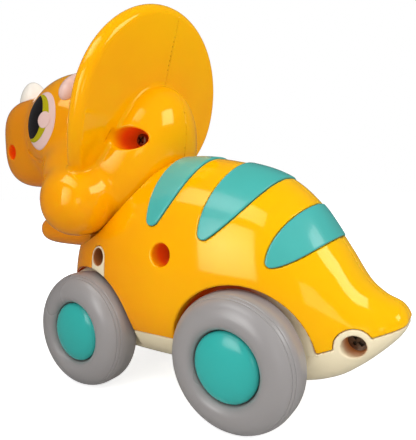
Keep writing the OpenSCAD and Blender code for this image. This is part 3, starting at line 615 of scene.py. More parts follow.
def surface(name, points, material):
    """Closed piece from a grid of points, rows by columns, whose seams and poles meet."""
    rows, columns = points.shape[:2]
    return close_up(piece(name, material, points.reshape(-1, 3), grid_faces(rows, columns)))


def seated(made, body, slot, *nodes):
    """Puts a piece on a body of the frame, in place of nodes, which it hides. The slot is not used."""
    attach(made, body)
    if nodes:
        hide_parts(*nodes)
    return made


def shell_pair(name, half, low, high, cell, skin, body, slot, alike=False):
    """Both halves of a moulding. The right one is made as a left one and turned over, with its faces;
    halves that are alike share one mesh."""
    for side, turned in SIDES:
        if turned > 0 or not alike:
            points, faces, normals = level_mesh(partial(half, turned > 0), low, high, cell)
        flip = (1, turned, 1)
        made = piece(name + "_shell_" + side, skin, points * flip, faces[:, ::turned], normals * flip)
        seated(made, body, slot, name + "_" + side)


# Materials

class Value:
    """A socket of a node tree. Sums, differences and products of values add Math nodes."""

    def __init__(self, tree, socket):
        self.tree = tree
        self.socket = socket

    def node(self, kind, settings=None, inputs=None, out=0):
        """Adds a node of any type: settings first, then values or links by input name or number."""
        return add_node(self.tree, kind, settings, inputs, out)

    def maths(self, operation, first, second=None):
        """One Math node on two values."""
        inputs = {0: first} if second is None else {0: first, 1: second}
        return self.node("ShaderNodeMath", {"operation": operation}, inputs)

    def __add__(self, other):
        return self.maths("ADD", self, other)

    def __radd__(self, other):
        return self.maths("ADD", other, self)

    def __sub__(self, other):
        return self.maths("SUBTRACT", self, other)

    def __rsub__(self, other):
        return self.maths("SUBTRACT", other, self)

    def __mul__(self, other):
        return self.maths("MULTIPLY", self, other)

    def __rmul__(self, other):
        return self.maths("MULTIPLY", other, self)

    def band(self, low, high):
        """0 below low, 1 above high, and smooth between them."""
        return self.node("ShaderNodeMapRange", {"interpolation_type": "SMOOTHSTEP", "clamp": True},
                         {"Value": self, "From Min": low, "From Max": high})


def fill(made, inputs):
    """Fills a node's inputs by name or number: values are linked, numbers and colours are set."""
    for key, value in inputs.items():
        socket = made.inputs[key]
        if isinstance(value, Value):
            value.tree.links.new(value.socket, socket)
        else:
            socket.default_value = value


def add_node(tree, kind, settings=None, inputs=None, out=0):
    """Adds a node to a tree, with its settings set first, and returns one of its outputs."""
    made = tree.nodes.new(kind)
    for key, value in (settings or {}).items():
        setattr(made, key, value)
    fill(made, inputs or {})
    return Value(tree, made.outputs[out])


def mixed(share, first, second):
    """Colour between two colours by a share."""
    return share.node("ShaderNodeMix", {"data_type": "RGBA"}, {"Factor": share, 6: first, 7: second}, 2)


def noise(where, scale, detail=2.0):
    """Noise from 0 to 1 over the object's own coordinates; the scale is in waves a metre."""
    return where.node("ShaderNodeTexNoise", None,
                      {"Vector": where, "Scale": scale, "Detail": detail, "Roughness": 0.55})


def bumped(height, strength, distance):
    """Normal of a skin with bumps of a height."""
    return height.node("ShaderNodeBump", None, {"Height": height, "Strength": strength, "Distance": distance})


def object_place(tree):
    """The point's place in the object's own axes."""
    return add_node(tree, "ShaderNodeTexCoord", out="Object")


def grey(level):
    """A grey of some level."""
    return (level,) * 3 + (1.0,)


def toned(colour, factor):
    """The colour, lighter or darker by a factor."""
    return tuple(min(1.0, v * factor) for v in colour[:3]) + (1.0,)


BLACK = grey(0.0)


def fresh_material(name):
    """New node material: its tree and its Principled shader, with nothing linked to the shader."""
    material = bpy.data.materials.new(name)
    material.use_nodes = True
    tree = material.node_tree
    return material, tree, tree.nodes["Principled BSDF"]


# Moulded plastic: band of the flow streaks, waves a metre of the wear and the orange peel, depth of the peel
FLOW_BAND = (0.35, 0.7)
WEAR_WAVES = 140.0
PEEL_WAVES = 420.0
PEEL_DEPTH = 0.00004


def moulded(name, colour, deep, roughness=0.15, coat=0.3, streak=35.0, peel=0.06):
    """Moulded plastic: slow flow streaks between two tones, a faint orange peel that catches highlights,
    and a gloss that varies a little with handling."""
    material, tree, shader = fresh_material(name)
    where = object_place(tree)
    flow = noise(where, streak, 3.0).band(*FLOW_BAND)
    wear = noise(where, WEAR_WAVES, 4.0)
    fill(shader, {"Base Color": mixed(flow, colour, deep),
                  "Roughness": wear * (roughness * 0.5) + roughness * 0.75,
                  "Normal": bumped(noise(where, PEEL_WAVES), peel, PEEL_DEPTH),
                  "Coat Weight": coat, "Coat Roughness": 0.06, "IOR": 1.49})
    return material


def opened(material):
    """A moulded material's shader, its skin colour, and the point's place along each of its axes."""
    tree = material.node_tree
    shader = tree.nodes["Principled BSDF"]
    skin = Value(tree, shader.inputs["Base Color"].links[0].from_socket)
    split = add_node(tree, "ShaderNodeSeparateXYZ", None, {0: object_place(tree)})
    return shader, skin, [Value(tree, socket) for socket in split.socket.node.outputs]


def hole_mask(place, centre, half_x, half_z, mouth, depth=0.6, fade=0.16):
    """1 in a hole along Y on either side, fading out up to its mouth and a little past its edge."""
    x, y, z = place
    across = (x - float(centre[0]) * MM) * (1 / (half_x * MM))
    high = (z - float(centre[1]) * MM) * (1 / (half_z * MM))
    level = across.maths("SQRT", across * across + high * high)
    deep = y.maths("ABSOLUTE", y)
    return (1.0 - level.band(1.0, 1.0 + fade)) * (1.0 - deep.band((mouth - depth) * MM, mouth * MM))


# Painted shade and painted light on the yellow, in millimetres: deeper orange low at the front and lighter at
# the tail. They lie along X, lean with the height above a level, and have a span each. Then the depths over
# which recesses and arches glow with painted light, and the line along the seam. The arches' painted shade
# and the seam's tone are factors on a colour
TONE_LEVEL_Z = 60.0
TONE_LEAN = 0.6
PAINTED_SHADE_SPAN = (-15.0, 40.0)
PAINTED_LIGHT_SPAN = (-15.0, -55.0)
FLANK_GLOW = 5.0
NOSTRIL_GLOW = 4.0
NECK_GLOW = 7.0
ARCH_GLOW = 3.0
ARCH_MOUTH_Y = BODY_HALF - 1.5
ARCH_RIM = 0.1
ARCH_FADE = 0.01
ARCH_SHADE_TONE = 0.45
ARCH_SHINE = 0.6
FLANGE_SPAN = (FLANGE_Y - 0.4, FLANGE_Y - 0.1)
SEAM_SPAN = (0.05, 0.16)
SEAM_TONE = 0.6
SEAM_SHARE = 0.35


def yellow_shell(tone):
    """Yellow shell: moulded plastic with painted shade, deeper orange, low at the front and painted light at
    the tail.
    Its recesses and wheel arches glow orange with painted light, where their walls light each other, and the
    arches' rims are painted darker. The glow fills the bars round their axes and fades past their edges."""
    material = bpy.data.materials.get("toy_yellow")
    if material is not None:
        return material
    material = moulded("toy_yellow", tone["yellow"], tone["yellow_deep"], roughness=0.09, coat=0.0)
    shader, skin, place = opened(material)
    x, y, z = place
    # Painted shade and painted light: deeper orange towards the front and low down, lighter towards the tail
    # and high up
    fore = x - (z - TONE_LEVEL_Z * MM) * TONE_LEAN
    for (start, end), name in ((PAINTED_SHADE_SPAN, "yellow_warm"), (PAINTED_LIGHT_SPAN, "yellow_light")):
        skin = mixed(fore.band(start * MM, end * MM), skin, tone[name])
    glow = (hole_mask(place, FLANK_SCREW, RECESS_R, RECESS_R, BODY_HALF, FLANK_GLOW)
            + hole_mask(place, NOSTRIL, NOSTRIL_R, NOSTRIL_R, NOSTRIL_MOUTH_Y, NOSTRIL_GLOW)
            + hole_mask(place, *NECK_RECESS, NECK_MOUTH_Y, NECK_GLOW) * y.band(0.0, MM))
    shine = glow
    side = y.maths("ABSOLUTE", y)
    reach = ARCH_R + ARCH_RIM
    # Painted shade and painted light in the wheel arches: their rims are painted dark red and glow
    for axle in AXLES.values():
        arch = hole_mask(place, axle, reach, reach, ARCH_MOUTH_Y, ARCH_GLOW, ARCH_FADE)
        arch = arch * side.band(FLANGE_SPAN[0] * MM, FLANGE_SPAN[1] * MM)
        skin = mixed(arch, skin, toned(tone["glow"], ARCH_SHADE_TONE))
        shine = shine + arch * ARCH_SHINE
    seam = 1.0 - side.band(SEAM_SPAN[0] * MM, SEAM_SPAN[1] * MM)
    skin = mixed(seam * SEAM_SHARE, skin, toned(tone["yellow_warm"], SEAM_TONE))
    fill(shader, {"Base Color": mixed(glow, skin, tone["glow"]),
                  "Emission Color": mixed(shine, BLACK, tone["glow"]), "Emission Strength": 0.14,
                  "Subsurface Weight": 0.2, "Subsurface Radius": (1.0, 0.3, 0.04), "Subsurface Scale": 0.003,
                  "IOR": 1.78, "Specular Tint": tone["yellow_shine"]})
    return material


# Shades of the chassis in millimetres: depth of the lit tail hole, and where the rear well turns dark,
# from its wall outwards, forwards and upwards from the axle. The tones are factors on a colour
TAIL_GLOW = 6.5
WELL_SKIN = (0.4, 0.3)
WELL_AHEAD = (-9.0, 3.0)
WELL_ABOVE = (0.0, 6.0)
WELL_TONE = 0.3
TAIL_TONE = 2.2


def cream_chassis(tone):
    """Cream chassis: moulded plastic with brown shade in its screw holes, of which the tail's is lit, and
    with the glow of the yellow shell in the rear wheel well."""
    material = moulded("toy_cream_chassis", tone["cream"], toned(tone["cream"], 0.95), roughness=0.3)
    shader, skin, place = opened(material)
    x, y, z = place
    left = y.band(0.0, MM)
    lit = hole_mask(place, TAIL_BOSS, TAIL_HOLE_R, TAIL_HOLE_R, TAIL_MOUTH_Y, TAIL_GLOW) * left
    shade = lit + hole_mask(place, EAR, EAR_HOLE_R, EAR_HOLE_R, BODY_HALF) * left
    skin = mixed(shade, skin, tone["cream_shade"])
    ahead, above = ([float(middle + end) * MM for end in span]
                    for middle, span in zip(REAR_AXLE, (WELL_AHEAD, WELL_ABOVE)))
    well = hole_mask(place, REAR_AXLE, ARCH_R, ARCH_R, WELL_Y + WELL_SKIN[0], WELL_SKIN[1])
    deep = well * x.band(*ahead) * z.band(*above)
    light = mixed(deep, BLACK, tone["glow"])
    fill(shader, {"Base Color": mixed(deep, skin, toned(tone["glow"], WELL_TONE)),
                  "Emission Color": mixed(lit, light, toned(tone["cream_shade"], TAIL_TONE)),
                  "Emission Strength": 0.13})
    return material


def soft_tyre(name, colour):
    """Soft tyre: satin, with fine grain, and dust that dulls it in broad patches."""
    material, tree, shader = fresh_material(name)
    where = object_place(tree)
    dust = noise(where, 60.0, 1.0).band(0.2, 0.8)
    fill(shader, {"Base Color": mixed(dust, toned(colour, 0.98), toned(colour, 1.03)),
                  "Roughness": dust * 0.03 + 0.27, "IOR": 1.72,
                  "Normal": bumped(noise(where, 1600.0, 1.0), 0.03, 0.00005)})
    return material


def bright_steel(name, colour):
    """Bright steel: drawn along Y, so its fine scratches run along the bars."""
    material, tree, shader = fresh_material(name)
    where = object_place(tree)
    drawn = where.node("ShaderNodeMapping", None, {"Vector": where, "Scale": (1.0, 0.08, 1.0)})
    scratch = noise(drawn, 2400.0, 4.0)
    fill(shader, {"Base Color": mixed(scratch, toned(colour, 0.8), colour),
                  "Roughness": scratch * 0.2 + 0.22, "Metallic": 1.0})
    return material


def gear_plastic(name, colour):
    """Natural plastic of the gears: waxy, with faint clouds."""
    return moulded(name, colour, toned(colour, 0.9), roughness=0.42, coat=0.0, streak=120.0, peel=0.1)


# Pieces

class TOY_OT_body(bpy.types.Operator):
    """Makes the two body shells"""
    bl_idname = "toy.body"
    bl_label = "Body shells"

    def execute(self, context):
        size = sizes()
        shell_pair("body", lambda left, *at: body_half(size, *at), (TAIL_X, 0, SPLIT_Z),
                   (CHEST_X, BODY_HALF, BODY_TOP), size["cell"], yellow_shell(colours()), "base",
                   "yellow_shell", alike=True)
        return {"FINISHED"}


class TOY_OT_stripes(bpy.types.Operator):
    """Makes the three inlaid stripes"""
    bl_idname = "toy.stripes"
    bl_label = "Stripes"

    def execute(self, context):
        size = sizes()
        tone = colours()
        skin = moulded("toy_teal_stripe", tone["stripe"], toned(tone["stripe"], 0.93), roughness=0.24)
        for node, points in zip(STRIPE_NAMES, STRIPE_OUTLINES):
            mesh = level_mesh(partial(stripe_form, size, points), *node_box(node), size["stripe_cell"])
            seated(piece(node + "_inlay", skin, *mesh), "base", "teal_stripe", node)
        return {"FINISHED"}


class TOY_OT_chassis(bpy.types.Operator):
    """Makes the two chassis halves"""
    bl_idname = "toy.chassis"
    bl_label = "Chassis"

    def execute(self, context):
        size = sizes()
        shell_pair("chassis", partial(chassis_half, size), (TAIL_X, 0, BELLY_Z),
                   (CHEST_X, BODY_HALF, EAR[1] + EAR_R), size["cell"], cream_chassis(colours()), "base",
                   "cream_chassis")
        return {"FINISHED"}


class TOY_OT_head(bpy.types.Operator):
    """Makes the two head shells with the frill"""
    bl_idname = "toy.head"
    bl_label = "Head shells"

    def execute(self, context):
        size = sizes()
        shell_pair("head", partial(head_half, size), *node_box("head_left"), size["cell"],
                   yellow_shell(colours()), "head", "yellow_shell")
        return {"FINISHED"}


# Printed eye in the side view: centre, half width and half height of each layer
EYE_WHITE = ((37.0, 85.6), 8.3, 9.9)
EYE_LAYERS = [("eye_white", (37.0, 85.6), EYE_WHITE), ("eye_green", (38.5, 86.4), ((40.0, 86.8), 8.5, 8.3)),
              ("eye_black", (40.0, 87.0), ((41.6, 87.4), 7.1, 7.6)),
              ("eye_light", (33.6, 85.45), ((33.6, 85.45), 2.95, 2.8))]
# Grid of a layer, the lift of its edge and its back in print heights, and the halvings that find the skin
EYE_TURNS = 96
EYE_RINGS = 24
EYE_EDGE = 0.6
EYE_BACK = -4.0
HALVINGS = 40


def oval_reach(centre, oval, turn):
    """Distance from a centre to an oval along each angle: the positive root of the oval's equation."""
    (ox, oz), a, b = oval
    dx, dz = np.cos(turn) / a, np.sin(turn) / b
    px, pz = (centre[0] - ox) / a, (centre[1] - oz) / b
    half = px * dx + pz * dz
    square = dx**2 + dz**2
    return (np.sqrt(half**2 - square * (px**2 + pz**2 - 1)) - half) / square


def head_side(x, z):
    """Y of the head's left skin at places of the side view, by halving."""
    low = np.zeros_like(x)
    high = np.full_like(x, BODY_HALF * 2)
    for _ in range(HALVINGS):
        middle = (low + high) / 2
        within = head_field(x, middle, z) < 0
        low = np.where(within, middle, low)
        high = np.where(within, high, middle)
    return low


class TOY_OT_eyes(bpy.types.Operator):
    """Prints the eyes on both sides of the head, layer on layer"""
    bl_idname = "toy.eyes"
    bl_label = "Printed eyes"

    def execute(self, context):
        size = sizes()
        tone = colours()
        turn = np.linspace(0, 2 * np.pi, EYE_TURNS + 1)
        share = np.concatenate([np.linspace(0, 1, EYE_RINGS + 1), [1.0, 0.0]])[:, None]
        lift = np.concatenate([np.ones(EYE_RINGS), [EYE_EDGE, EYE_BACK, EYE_BACK]])[:, None]
        for layer, (name, centre, oval) in enumerate(EYE_LAYERS):
            colour = tone.get(name, tone["eye_white"])
            ink = moulded(name, colour, toned(colour, 0.94), roughness=0.16, coat=0.0)
            fill(ink.node_tree.nodes["Principled BSDF"], {"Specular IOR Level": 0.25})
            reach = np.minimum(oval_reach(centre, oval, turn), oval_reach(centre, EYE_WHITE, turn))
            x = centre[0] + share * reach * np.cos(turn)
            z = centre[1] + share * reach * np.sin(turn)
            y = head_side(x, z) + lift * size["print_height"] * (layer + 1)
            points = np.stack([x, y, z], -1)
            for side, turned in SIDES:
                made = surface(name + "_" + side, points * (1, turned, 1), ink)
                seated(made, "head", "pearl_horn")
        return {"FINISHED"}


# Horns: places and sizes in millimetres, turns in degrees
NOSE_HORN = dict(at=(66.3, 0, 91.5), radius=6.0, height=15.0, low=0.2)
BROW_HORN = dict(at=(27.0, 13.4, 96.5), turn=(40, -3), radius=3.2, length=12.8, blunt=0.18)
NOSE_STEPS = 40
BROW_STEPS = 60


def revolved(profile, turns=96):
    """Profile of (radius, height) turned about the height axis: (r cos t, r sin t, h)."""
    t = np.linspace(0, 2 * np.pi, turns + 1)
    radius = profile[:, :1]
    height = np.broadcast_to(profile[:, 1:], (len(profile), turns + 1))
    return np.stack([radius * np.cos(t), radius * np.sin(t), height], -1)


class TOY_OT_horns(bpy.types.Operator):
    """Makes the nose horn and the two brow horns"""
    bl_idname = "toy.horns"
    bl_label = "Horns"

    def execute(self, context):
        tone = colours()
        ivory = moulded("toy_ivory_horn", tone["ivory"], toned(tone["ivory"], 0.95), roughness=0.2,
                        streak=90.0)
        pearl = moulded("toy_pearl_horn", tone["pearl"], toned(tone["pearl"], 1.12), roughness=0.26, coat=0.6,
                        streak=160.0)
        t = np.linspace(0, np.pi / 2, NOSE_STEPS)
        horn = NOSE_HORN
        side = np.stack([horn["radius"] * np.cos(t),
                         horn["height"] * (horn["low"] + (1 - horn["low"]) * np.sin(t))], 1)
        side = np.concatenate([[[0, 0], [horn["radius"], 0]], side])
        made = surface("nose_horn_cone", revolved(side) + horn["at"], ivory)
        seated(made, "head", "ivory_horn", "nose_horn")
        brow = BROW_HORN
        t = np.linspace(0, np.pi, BROW_STEPS)
        drop = np.stack([brow["radius"] * np.sin(t) * (1 + brow["blunt"] * np.cos(t)),
                         -brow["length"] / 2 * np.cos(t)], 1)
        tilt = (Matrix.Rotation(math.radians(brow["turn"][1]), 3, "Y")
                @ Matrix.Rotation(math.radians(brow["turn"][0]), 3, "X"))
        points = revolved(drop) @ np.array(tilt).T + brow["at"]
        for side, turned in SIDES:
            made = surface("brow_horn_drop_" + side, points * (1, turned, 1), pearl)
            seated(made, "head", "pearl_horn", "brow_horn_" + side)
        return {"FINISHED"}


# Lower jaw: rows of X, half width, half height and middle height
JAW_ROWS = np.array([
    [26.5, 9, 4.8, 45.4], [36, 9.4, 5.2, 46], [46, 9.4, 5.5, 46.5], [53, 8.6, 5.3, 46.8],
    [57, 6.6, 4.3, 47], [59.3, 3.8, 2.7, 47], [60.2, 0.02, 0.02, 47]])
JAW_POWER = 2.3
JAW_STEPS = 90
JAW_TURNS = 96


class TOY_OT_jaw(bpy.types.Operator):
    """Makes the lower jaw"""
    bl_idname = "toy.jaw"
    bl_label = "Lower jaw"

    def execute(self, context):
        along = np.sin(np.linspace(0, np.pi / 2, JAW_STEPS))
        x = JAW_ROWS[0, 0] + (JAW_ROWS[-1, 0] - JAW_ROWS[0, 0]) * along
        half, high, middle = rows_at(JAW_ROWS, x)[1:, :, None]
        t = np.linspace(0, 2 * np.pi, JAW_TURNS + 1)
        power = 2 / JAW_POWER
        y = half * np.sign(np.cos(t)) * np.abs(np.cos(t))**power
        z = middle + high * np.sign(np.sin(t)) * np.abs(np.sin(t))**power
        points = np.stack([np.broadcast_to(x[:, None], y.shape), y, z], -1)
        root = points[:1] * (1, 0, 0) + (0, 0, JAW_ROWS[0, 3])
        tip = points[-1:] * (1, 0, 0) + (0, 0, JAW_ROWS[-1, 3])
        made = surface("lower_jaw_chin", np.concatenate([root, points, tip]), yellow_shell(colours()))
        seated(made, "base", "yellow_shell", "lower_jaw")
        return {"FINISHED"}


# Wheel section: (radius, height out of the hub's seat)
HUB_SEAT_Y = 26.75
HUB_R = 9.2
CAP_FLOOR = -2.4
CAP_R = 9.02
CAP_EDGE = -1.4
CAP_DOME = 1.2
LIP_R = 11.6
LIP_H = 0.8
CROWN_H = -5.4
INNER_H = -10.5
SHOULDER_R = 15.3
SHOULDER_H = 2.6
GROOVE_R = 12.9
GROOVE_H = 3.0
BOSS_R = 5.5
BORE_R = 1.5
PARTING_ANGLES = (24.0, 34.0)
PARTING_DEPTH = 0.16
PARTING_WIDTH = 1.1
CORNER_STEPS = 24
CROWN_STEPS = 260
DOME_STEPS = 48
TYRE_TURNS = 160
CAP_TURNS = 128


def tyre_section():
    """Tyre profile from the bore: a grooved inner side, a quarter of an oval up the shoulder, another over
    the crown with two shallow parting lines in it, and a round lip down to the hub cap's seat."""
    t = np.linspace(0, np.pi / 2, CORNER_STEPS)
    shoulder = np.stack([SHOULDER_R + (TYRE_R - SHOULDER_R) * np.sin(t),
                         INNER_H + SHOULDER_H * (1 - np.cos(t))], 1)
    t = np.linspace(0, np.pi / 2, CROWN_STEPS)
    off = [(np.degrees(t) - angle) / PARTING_WIDTH for angle in PARTING_ANGLES]
    dip = sum(PARTING_DEPTH * np.exp(-width**2) for width in off)
    crown = np.stack([LIP_R + (TYRE_R - LIP_R - dip) * np.cos(t),
                      CROWN_H + (LIP_H - CROWN_H - dip) * np.sin(t)], 1)
    t = np.linspace(0, np.pi / 2, CORNER_STEPS)[1:]
    seat = HUB_R + FIT
    lip = np.stack([seat + (LIP_R - seat) * (1 - np.sin(t)), CAP_EDGE + (LIP_H - CAP_EDGE) * np.cos(t)], 1)
    inner = [[BORE_R, CAP_FLOOR], [BORE_R, INNER_H], [BOSS_R, INNER_H], [BOSS_R, INNER_H + GROOVE_H],
             [GROOVE_R, INNER_H + GROOVE_H], [GROOVE_R, INNER_H]]
    return np.concatenate([inner, shoulder, crown, lip, [[seat, CAP_FLOOR], [BORE_R, CAP_FLOOR]]])


def cap_section():
    """Hub cap profile: a flat back, a straight edge and a quarter of an oval over the dome."""
    t = np.linspace(0, np.pi / 2, DOME_STEPS)
    dome = np.stack([CAP_R * np.cos(t), CAP_EDGE + (CAP_DOME - CAP_EDGE) * np.sin(t)], 1)
    return np.concatenate([[[0, CAP_FLOOR], [CAP_R, CAP_FLOOR]], dome])


class TOY_OT_wheels(bpy.types.Operator):
    """Makes the tyres and hub caps"""
    bl_idname = "toy.wheels"
    bl_label = "Wheels"

    def execute(self, context):
        tone = colours()
        rubber = soft_tyre("toy_tyre", tone["tyre"])
        teal = moulded("toy_teal_hub", tone["hub"], toned(tone["hub"], 0.93), roughness=0.22)
        parts = ((revolved(tyre_section(), TYRE_TURNS), "tyre", rubber, "grey_tyre"),
                 (revolved(cap_section(), CAP_TURNS), "hub_cap", teal, "teal_hub"))
        for end in ("front", "rear"):
            for side, turned in SIDES:
                for points, node, skin, slot in parts:
                    x = AXLES[end][0] + points[..., 0]
                    y = turned * (HUB_SEAT_Y + points[..., 2])
                    z = AXLES[end][1] + points[..., 1]
                    name = "_".join((node, end, side))
                    made = surface(name + "_skin", np.stack([x, y, z], -1), skin)
                    seated(made, end + "_wheels", slot, name)
        return {"FINISHED"}


# Return spring: its size in the frame, its turns, and the steps along and round its wire
SPRING_FOOT_Z = 49.0
SPRING_R = 2.6
WIRE_R = 0.4
SPRING_TURNS = 5
SPRING_STEPS = 40
WIRE_STEPS = 12

# Neck screw: its head lies on the floor of the recess
NECK_HEAD_R = 2.0
NECK_HEAD_H = 1.7
NECK_SCREW_END_Y = -8.0
NECK_HEAD_EDGE = 0.6
NECK_HEAD_LAP = 0.5
CROSS_HALF = (1.35, 0.34)
CROSS_DEEP = 1.0
CROSS_EDGE = 0.1
SCREW_CELL = 0.1


def neck_screw(x, y, z):
    """Neck screw: a plain shank, a round-edged head and a cross in it, of two bars turned by 45 degrees."""
    top = NECK_FLOOR_Y + NECK_HEAD_H
    shank = both(bar(NECK_SCREW, SCREW_R - FIT, x, z),
                 np.maximum(NECK_SCREW_END_Y - y, y - top + NECK_HEAD_LAP))
    head = both(bar(NECK_SCREW, NECK_HEAD_R, x, z), y - top, NECK_HEAD_EDGE)
    head = np.maximum(head, NECK_FLOOR_Y - y)
    across = (x - NECK_SCREW[0] + z - NECK_SCREW[1]) * math.sqrt(0.5)
    along = (x - NECK_SCREW[0] - z + NECK_SCREW[1]) * math.sqrt(0.5)
    arms = [np.maximum(np.abs(a) - CROSS_HALF[0], np.abs(b) - CROSS_HALF[1])
            for a, b in ((across, along), (along, across))]
    cross = np.maximum(np.minimum(*arms), top - CROSS_DEEP - y)
    return without(np.minimum(shank, head), cross, CROSS_EDGE)


class TOY_OT_works(bpy.types.Operator):
    """Gives the inner works their finishes, drives the neck screw and winds the return spring"""
    bl_idname = "toy.works"
    bl_label = "Inner works"

    def execute(self, context):
        tone = colours()
        steel = bright_steel("toy_steel", tone["steel"])
        dark = bright_steel("toy_screw", tone["screw"])
        nylon = gear_plastic("toy_nylon", tone["nylon"])
        finish = {row["node"]: row["material_slot"] for row in frame["record"]["subparts"]}
        for name, made in frame["nodes"].items():
            skin = {"steel": steel, "natural_gear_plastic": nylon}.get(finish[name])
            if name.endswith("_screws"):
                skin = dark
            if skin is not None:
                made.data.materials.clear()
                made.data.materials.append(skin)
        low = (NECK_SCREW[0] - NECK_HEAD_R, NECK_SCREW_END_Y, NECK_SCREW[1] - NECK_HEAD_R)
        high = (NECK_SCREW[0] + NECK_HEAD_R, NECK_FLOOR_Y + NECK_HEAD_H, NECK_SCREW[1] + NECK_HEAD_R)
        made = piece("neck_screw", dark, *level_mesh(neck_screw, low, high, SCREW_CELL))
        seated(made, "head", "steel", "head_screws")
        turn = np.linspace(0, 2 * np.pi * SPRING_TURNS, SPRING_TURNS * SPRING_STEPS + 1)[:, None]
        round_wire = np.linspace(0, 2 * np.pi, WIRE_STEPS + 1)
        out = SPRING_R + WIRE_R * np.cos(round_wire)
        rise = SPRING_TOP_Z - SPRING_FOOT_Z - 2 * WIRE_R
        z = SPRING_FOOT_Z + WIRE_R + rise * turn / turn[-1] + WIRE_R * np.sin(round_wire)
        points = np.stack([SPRING_X + out * np.cos(turn), out * np.sin(turn), z], -1)
        ends = [points[[i]].mean(1, keepdims=True) + 0 * points[[i]] for i in (0, -1)]
        made = surface("return_spring_coil", np.concatenate([ends[0], points, ends[1]]), steel)
        seated(made, "base", "steel", "return_spring")
        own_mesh(made)
        return {"FINISHED"}


# Stage: the camera stands where the photograph's did
CAMERA_AT = (-88.22, 110.55, 61.19)
CAMERA_YAW = math.radians(32.73)
CAMERA_PITCH = math.radians(4.22)
CAMERA_ROLL = math.radians(1.36)
FRAME_HEIGHT_PX = 440
FOCAL_PX = 420
SENSOR = 36.0
FLOOR_HALF = 3.0
CLIP_START = 0.005
# Softboxes: the point they face in millimetres, their bearing and height from there in degrees, distance in
# metres, width, height and half beam in degrees, brightness along the beam, and whether they give highlights
Lamp = namedtuple("Lamp", "name aim bearing height far wide high beam level shows")
LAMPS = [
    Lamp("flank_box", (-40, 20, 44), 78, 18, 0.16, 32, 40, 35, 4.0, True),
    Lamp("upper_box", (-38, 8, 60), 74, 50, 0.2, 50, 18, 42, 3.3, True),
    Lamp("tail_box", (-30, 0, 60), -174, 28, 0.5, 26, 22, 70, 3.8, True),
    Lamp("tail_fill", (-20, 0, 60), 160, 38, 0.8, 64, 56, 89, 1.25, False),
    Lamp("camera_box", (-50, 10, 40), 128, -1, 0.5, 16, 20, 60, 1.2, True),
    Lamp("face_fill", (40, 10, 80), 60, 40, 0.8, 60, 50, 89, 0.3, False),
    Lamp("right_fill", (0, -10, 50), -85, 30, 0.8, 60, 50, 89, 1.2, False),
]
WORLD_LIGHT = 0.44
REFLECTED_WHITE = 0.1
FLOOR_COLOUR = 0.82
FLOOR_WHITE = 0.74


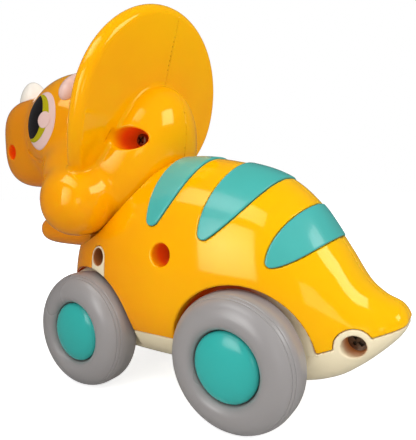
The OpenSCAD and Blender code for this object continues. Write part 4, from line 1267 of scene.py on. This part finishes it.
class TOY_OT_stage(bpy.types.Operator):
    """Sets the floor, the studio lamps, the white surround and the camera"""
    bl_idname = "toy.stage"
    bl_label = "Stage"

    def execute(self, context):
        scene = context.scene
        scene.view_settings.view_transform = "Standard"
        self.floor()
        self.world(scene)
        for lamp in LAMPS:
            self.softbox(scene, lamp)
        self.camera(scene)
        return {"FINISHED"}

    def softbox(self, scene, lamp):
        """Area lamp that faces its aim. Its power gives the stated brightness along the beam."""
        bearing, height, beam = (math.radians(turn) for turn in (lamp.bearing, lamp.height, lamp.beam))
        toward = Vector((math.cos(bearing) * math.cos(height), math.sin(bearing) * math.cos(height),
                         math.sin(height)))
        light = bpy.data.lights.new(lamp.name, "AREA")
        light.shape = "RECTANGLE"
        light.size = 2 * lamp.far * math.tan(math.radians(lamp.wide) / 2)
        light.size_y = 2 * lamp.far * math.tan(math.radians(lamp.high) / 2)
        light.spread = 2 * beam
        share = (math.tan(beam) - beam) / math.tan(beam)
        light.energy = math.pi * light.size * light.size_y * lamp.level * share
        made = bpy.data.objects.new(lamp.name, light)
        made.location = Vector(lamp.aim) * MM + toward * lamp.far
        made.rotation_euler = (-toward).to_track_quat("-Z", "Y").to_euler()
        made.visible_glossy = lamp.shows
        scene.collection.objects.link(made)

    def floor(self):
        """Pale floor that the camera sees as white, apart from the shadow."""
        corners = np.array([[-1, -1, 0], [1, -1, 0], [1, 1, 0], [-1, 1, 0]]) * FLOOR_HALF / MM
        material, tree, shader = fresh_material("toy_floor")
        dim = add_node(tree, "ShaderNodeLightPath", out="Is Glossy Ray")
        fill(shader, {"Base Color": mixed(dim, grey(FLOOR_COLOUR), grey(FLOOR_COLOUR * REFLECTED_WHITE)),
                      "Roughness": 0.9, "Specular IOR Level": 0.0,
                      "Emission Color": mixed(self.seen(tree), BLACK, grey(FLOOR_WHITE)),
                      "Emission Strength": 1.0})
        piece("floor", material, corners, np.array([[0, 1, 2, 3]]))

    def seen(self, tree):
        """1 where the camera looks, less where a reflection does, 0 for the light that falls on things."""
        camera, glossy, through = (add_node(tree, "ShaderNodeLightPath", out=kind)
                                   for kind in ("Is Camera Ray", "Is Glossy Ray", "Is Transmission Ray"))
        total = camera + glossy * REFLECTED_WHITE + through
        return total.maths("MINIMUM", total, 1.0)

    def world(self, scene):
        """White to the camera, a little of it to reflections, and a plain soft light to everything else."""
        world = bpy.data.worlds.new("surround")
        world.use_nodes = True
        tree = world.node_tree
        soft = add_node(tree, "ShaderNodeLightPath", out="Is Diffuse Ray")
        fill(tree.nodes["Background"], {"Color": grey(1.0), "Strength": self.seen(tree) + soft * WORLD_LIGHT})
        scene.world = world

    def camera(self, scene):
        """Looks along its yaw and pitch, then rolls about that line; the lens follows the focal length."""
        ahead = Vector((math.sin(CAMERA_YAW) * math.cos(CAMERA_PITCH),
                        -math.cos(CAMERA_YAW) * math.cos(CAMERA_PITCH), -math.sin(CAMERA_PITCH)))
        right = ahead.cross(Vector((0, 0, 1))).normalized()
        down = ahead.cross(right)
        turn = Matrix.Rotation(CAMERA_ROLL, 3, ahead)
        right, down = turn @ right, turn @ down
        data = bpy.data.cameras.new("camera")
        data.sensor_fit = "VERTICAL"
        data.sensor_height = SENSOR
        data.lens = SENSOR * FOCAL_PX / FRAME_HEIGHT_PX
        data.clip_start = CLIP_START
        made = bpy.data.objects.new("camera", data)
        axes = Matrix((right, -down, -ahead)).transposed()
        made.matrix_world = Matrix.Translation(Vector(CAMERA_AT) * MM) @ axes.to_4x4()
        scene.collection.objects.link(made)
        scene.camera = made


STEPS = (TOY_OT_stage, TOY_OT_body, TOY_OT_stripes, TOY_OT_chassis, TOY_OT_head, TOY_OT_eyes, TOY_OT_horns,
         TOY_OT_jaw, TOY_OT_wheels, TOY_OT_works)


class TOY_PT_panel(bpy.types.Panel):
    """Lists the toy's sizes, colours and pieces"""
    bl_idname = "TOY_PT_panel"
    bl_label = "Triceratops toy"
    bl_space_type = "VIEW_3D"
    bl_region_type = "UI"
    bl_category = "Toy"

    def draw(self, context):
        for group in (context.scene.toy_sizes, context.scene.toy_colours):
            for key in group.__annotations__:
                self.layout.prop(group, key)
        for step in STEPS:
            self.layout.operator(step.bl_idname)


CLASSES = (ToySizes, ToyColours) + STEPS + (TOY_PT_panel,)


def register():
    """Registers the classes and puts the sizes and colours on the scene."""
    for made in CLASSES:
        bpy.utils.register_class(made)
    bpy.types.Scene.toy_sizes = PointerProperty(type=ToySizes)
    bpy.types.Scene.toy_colours = PointerProperty(type=ToyColours)


def unregister():
    """Takes the sizes, colours and classes away again."""
    del bpy.types.Scene.toy_colours
    del bpy.types.Scene.toy_sizes
    for made in reversed(CLASSES):
        bpy.utils.unregister_class(made)


def main():
    """Registers the add-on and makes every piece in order."""
    register()
    for step in STEPS:
        family, name = step.bl_idname.split(".")
        getattr(getattr(bpy.ops, family), name)()


if __name__ == "__main__":
    main()
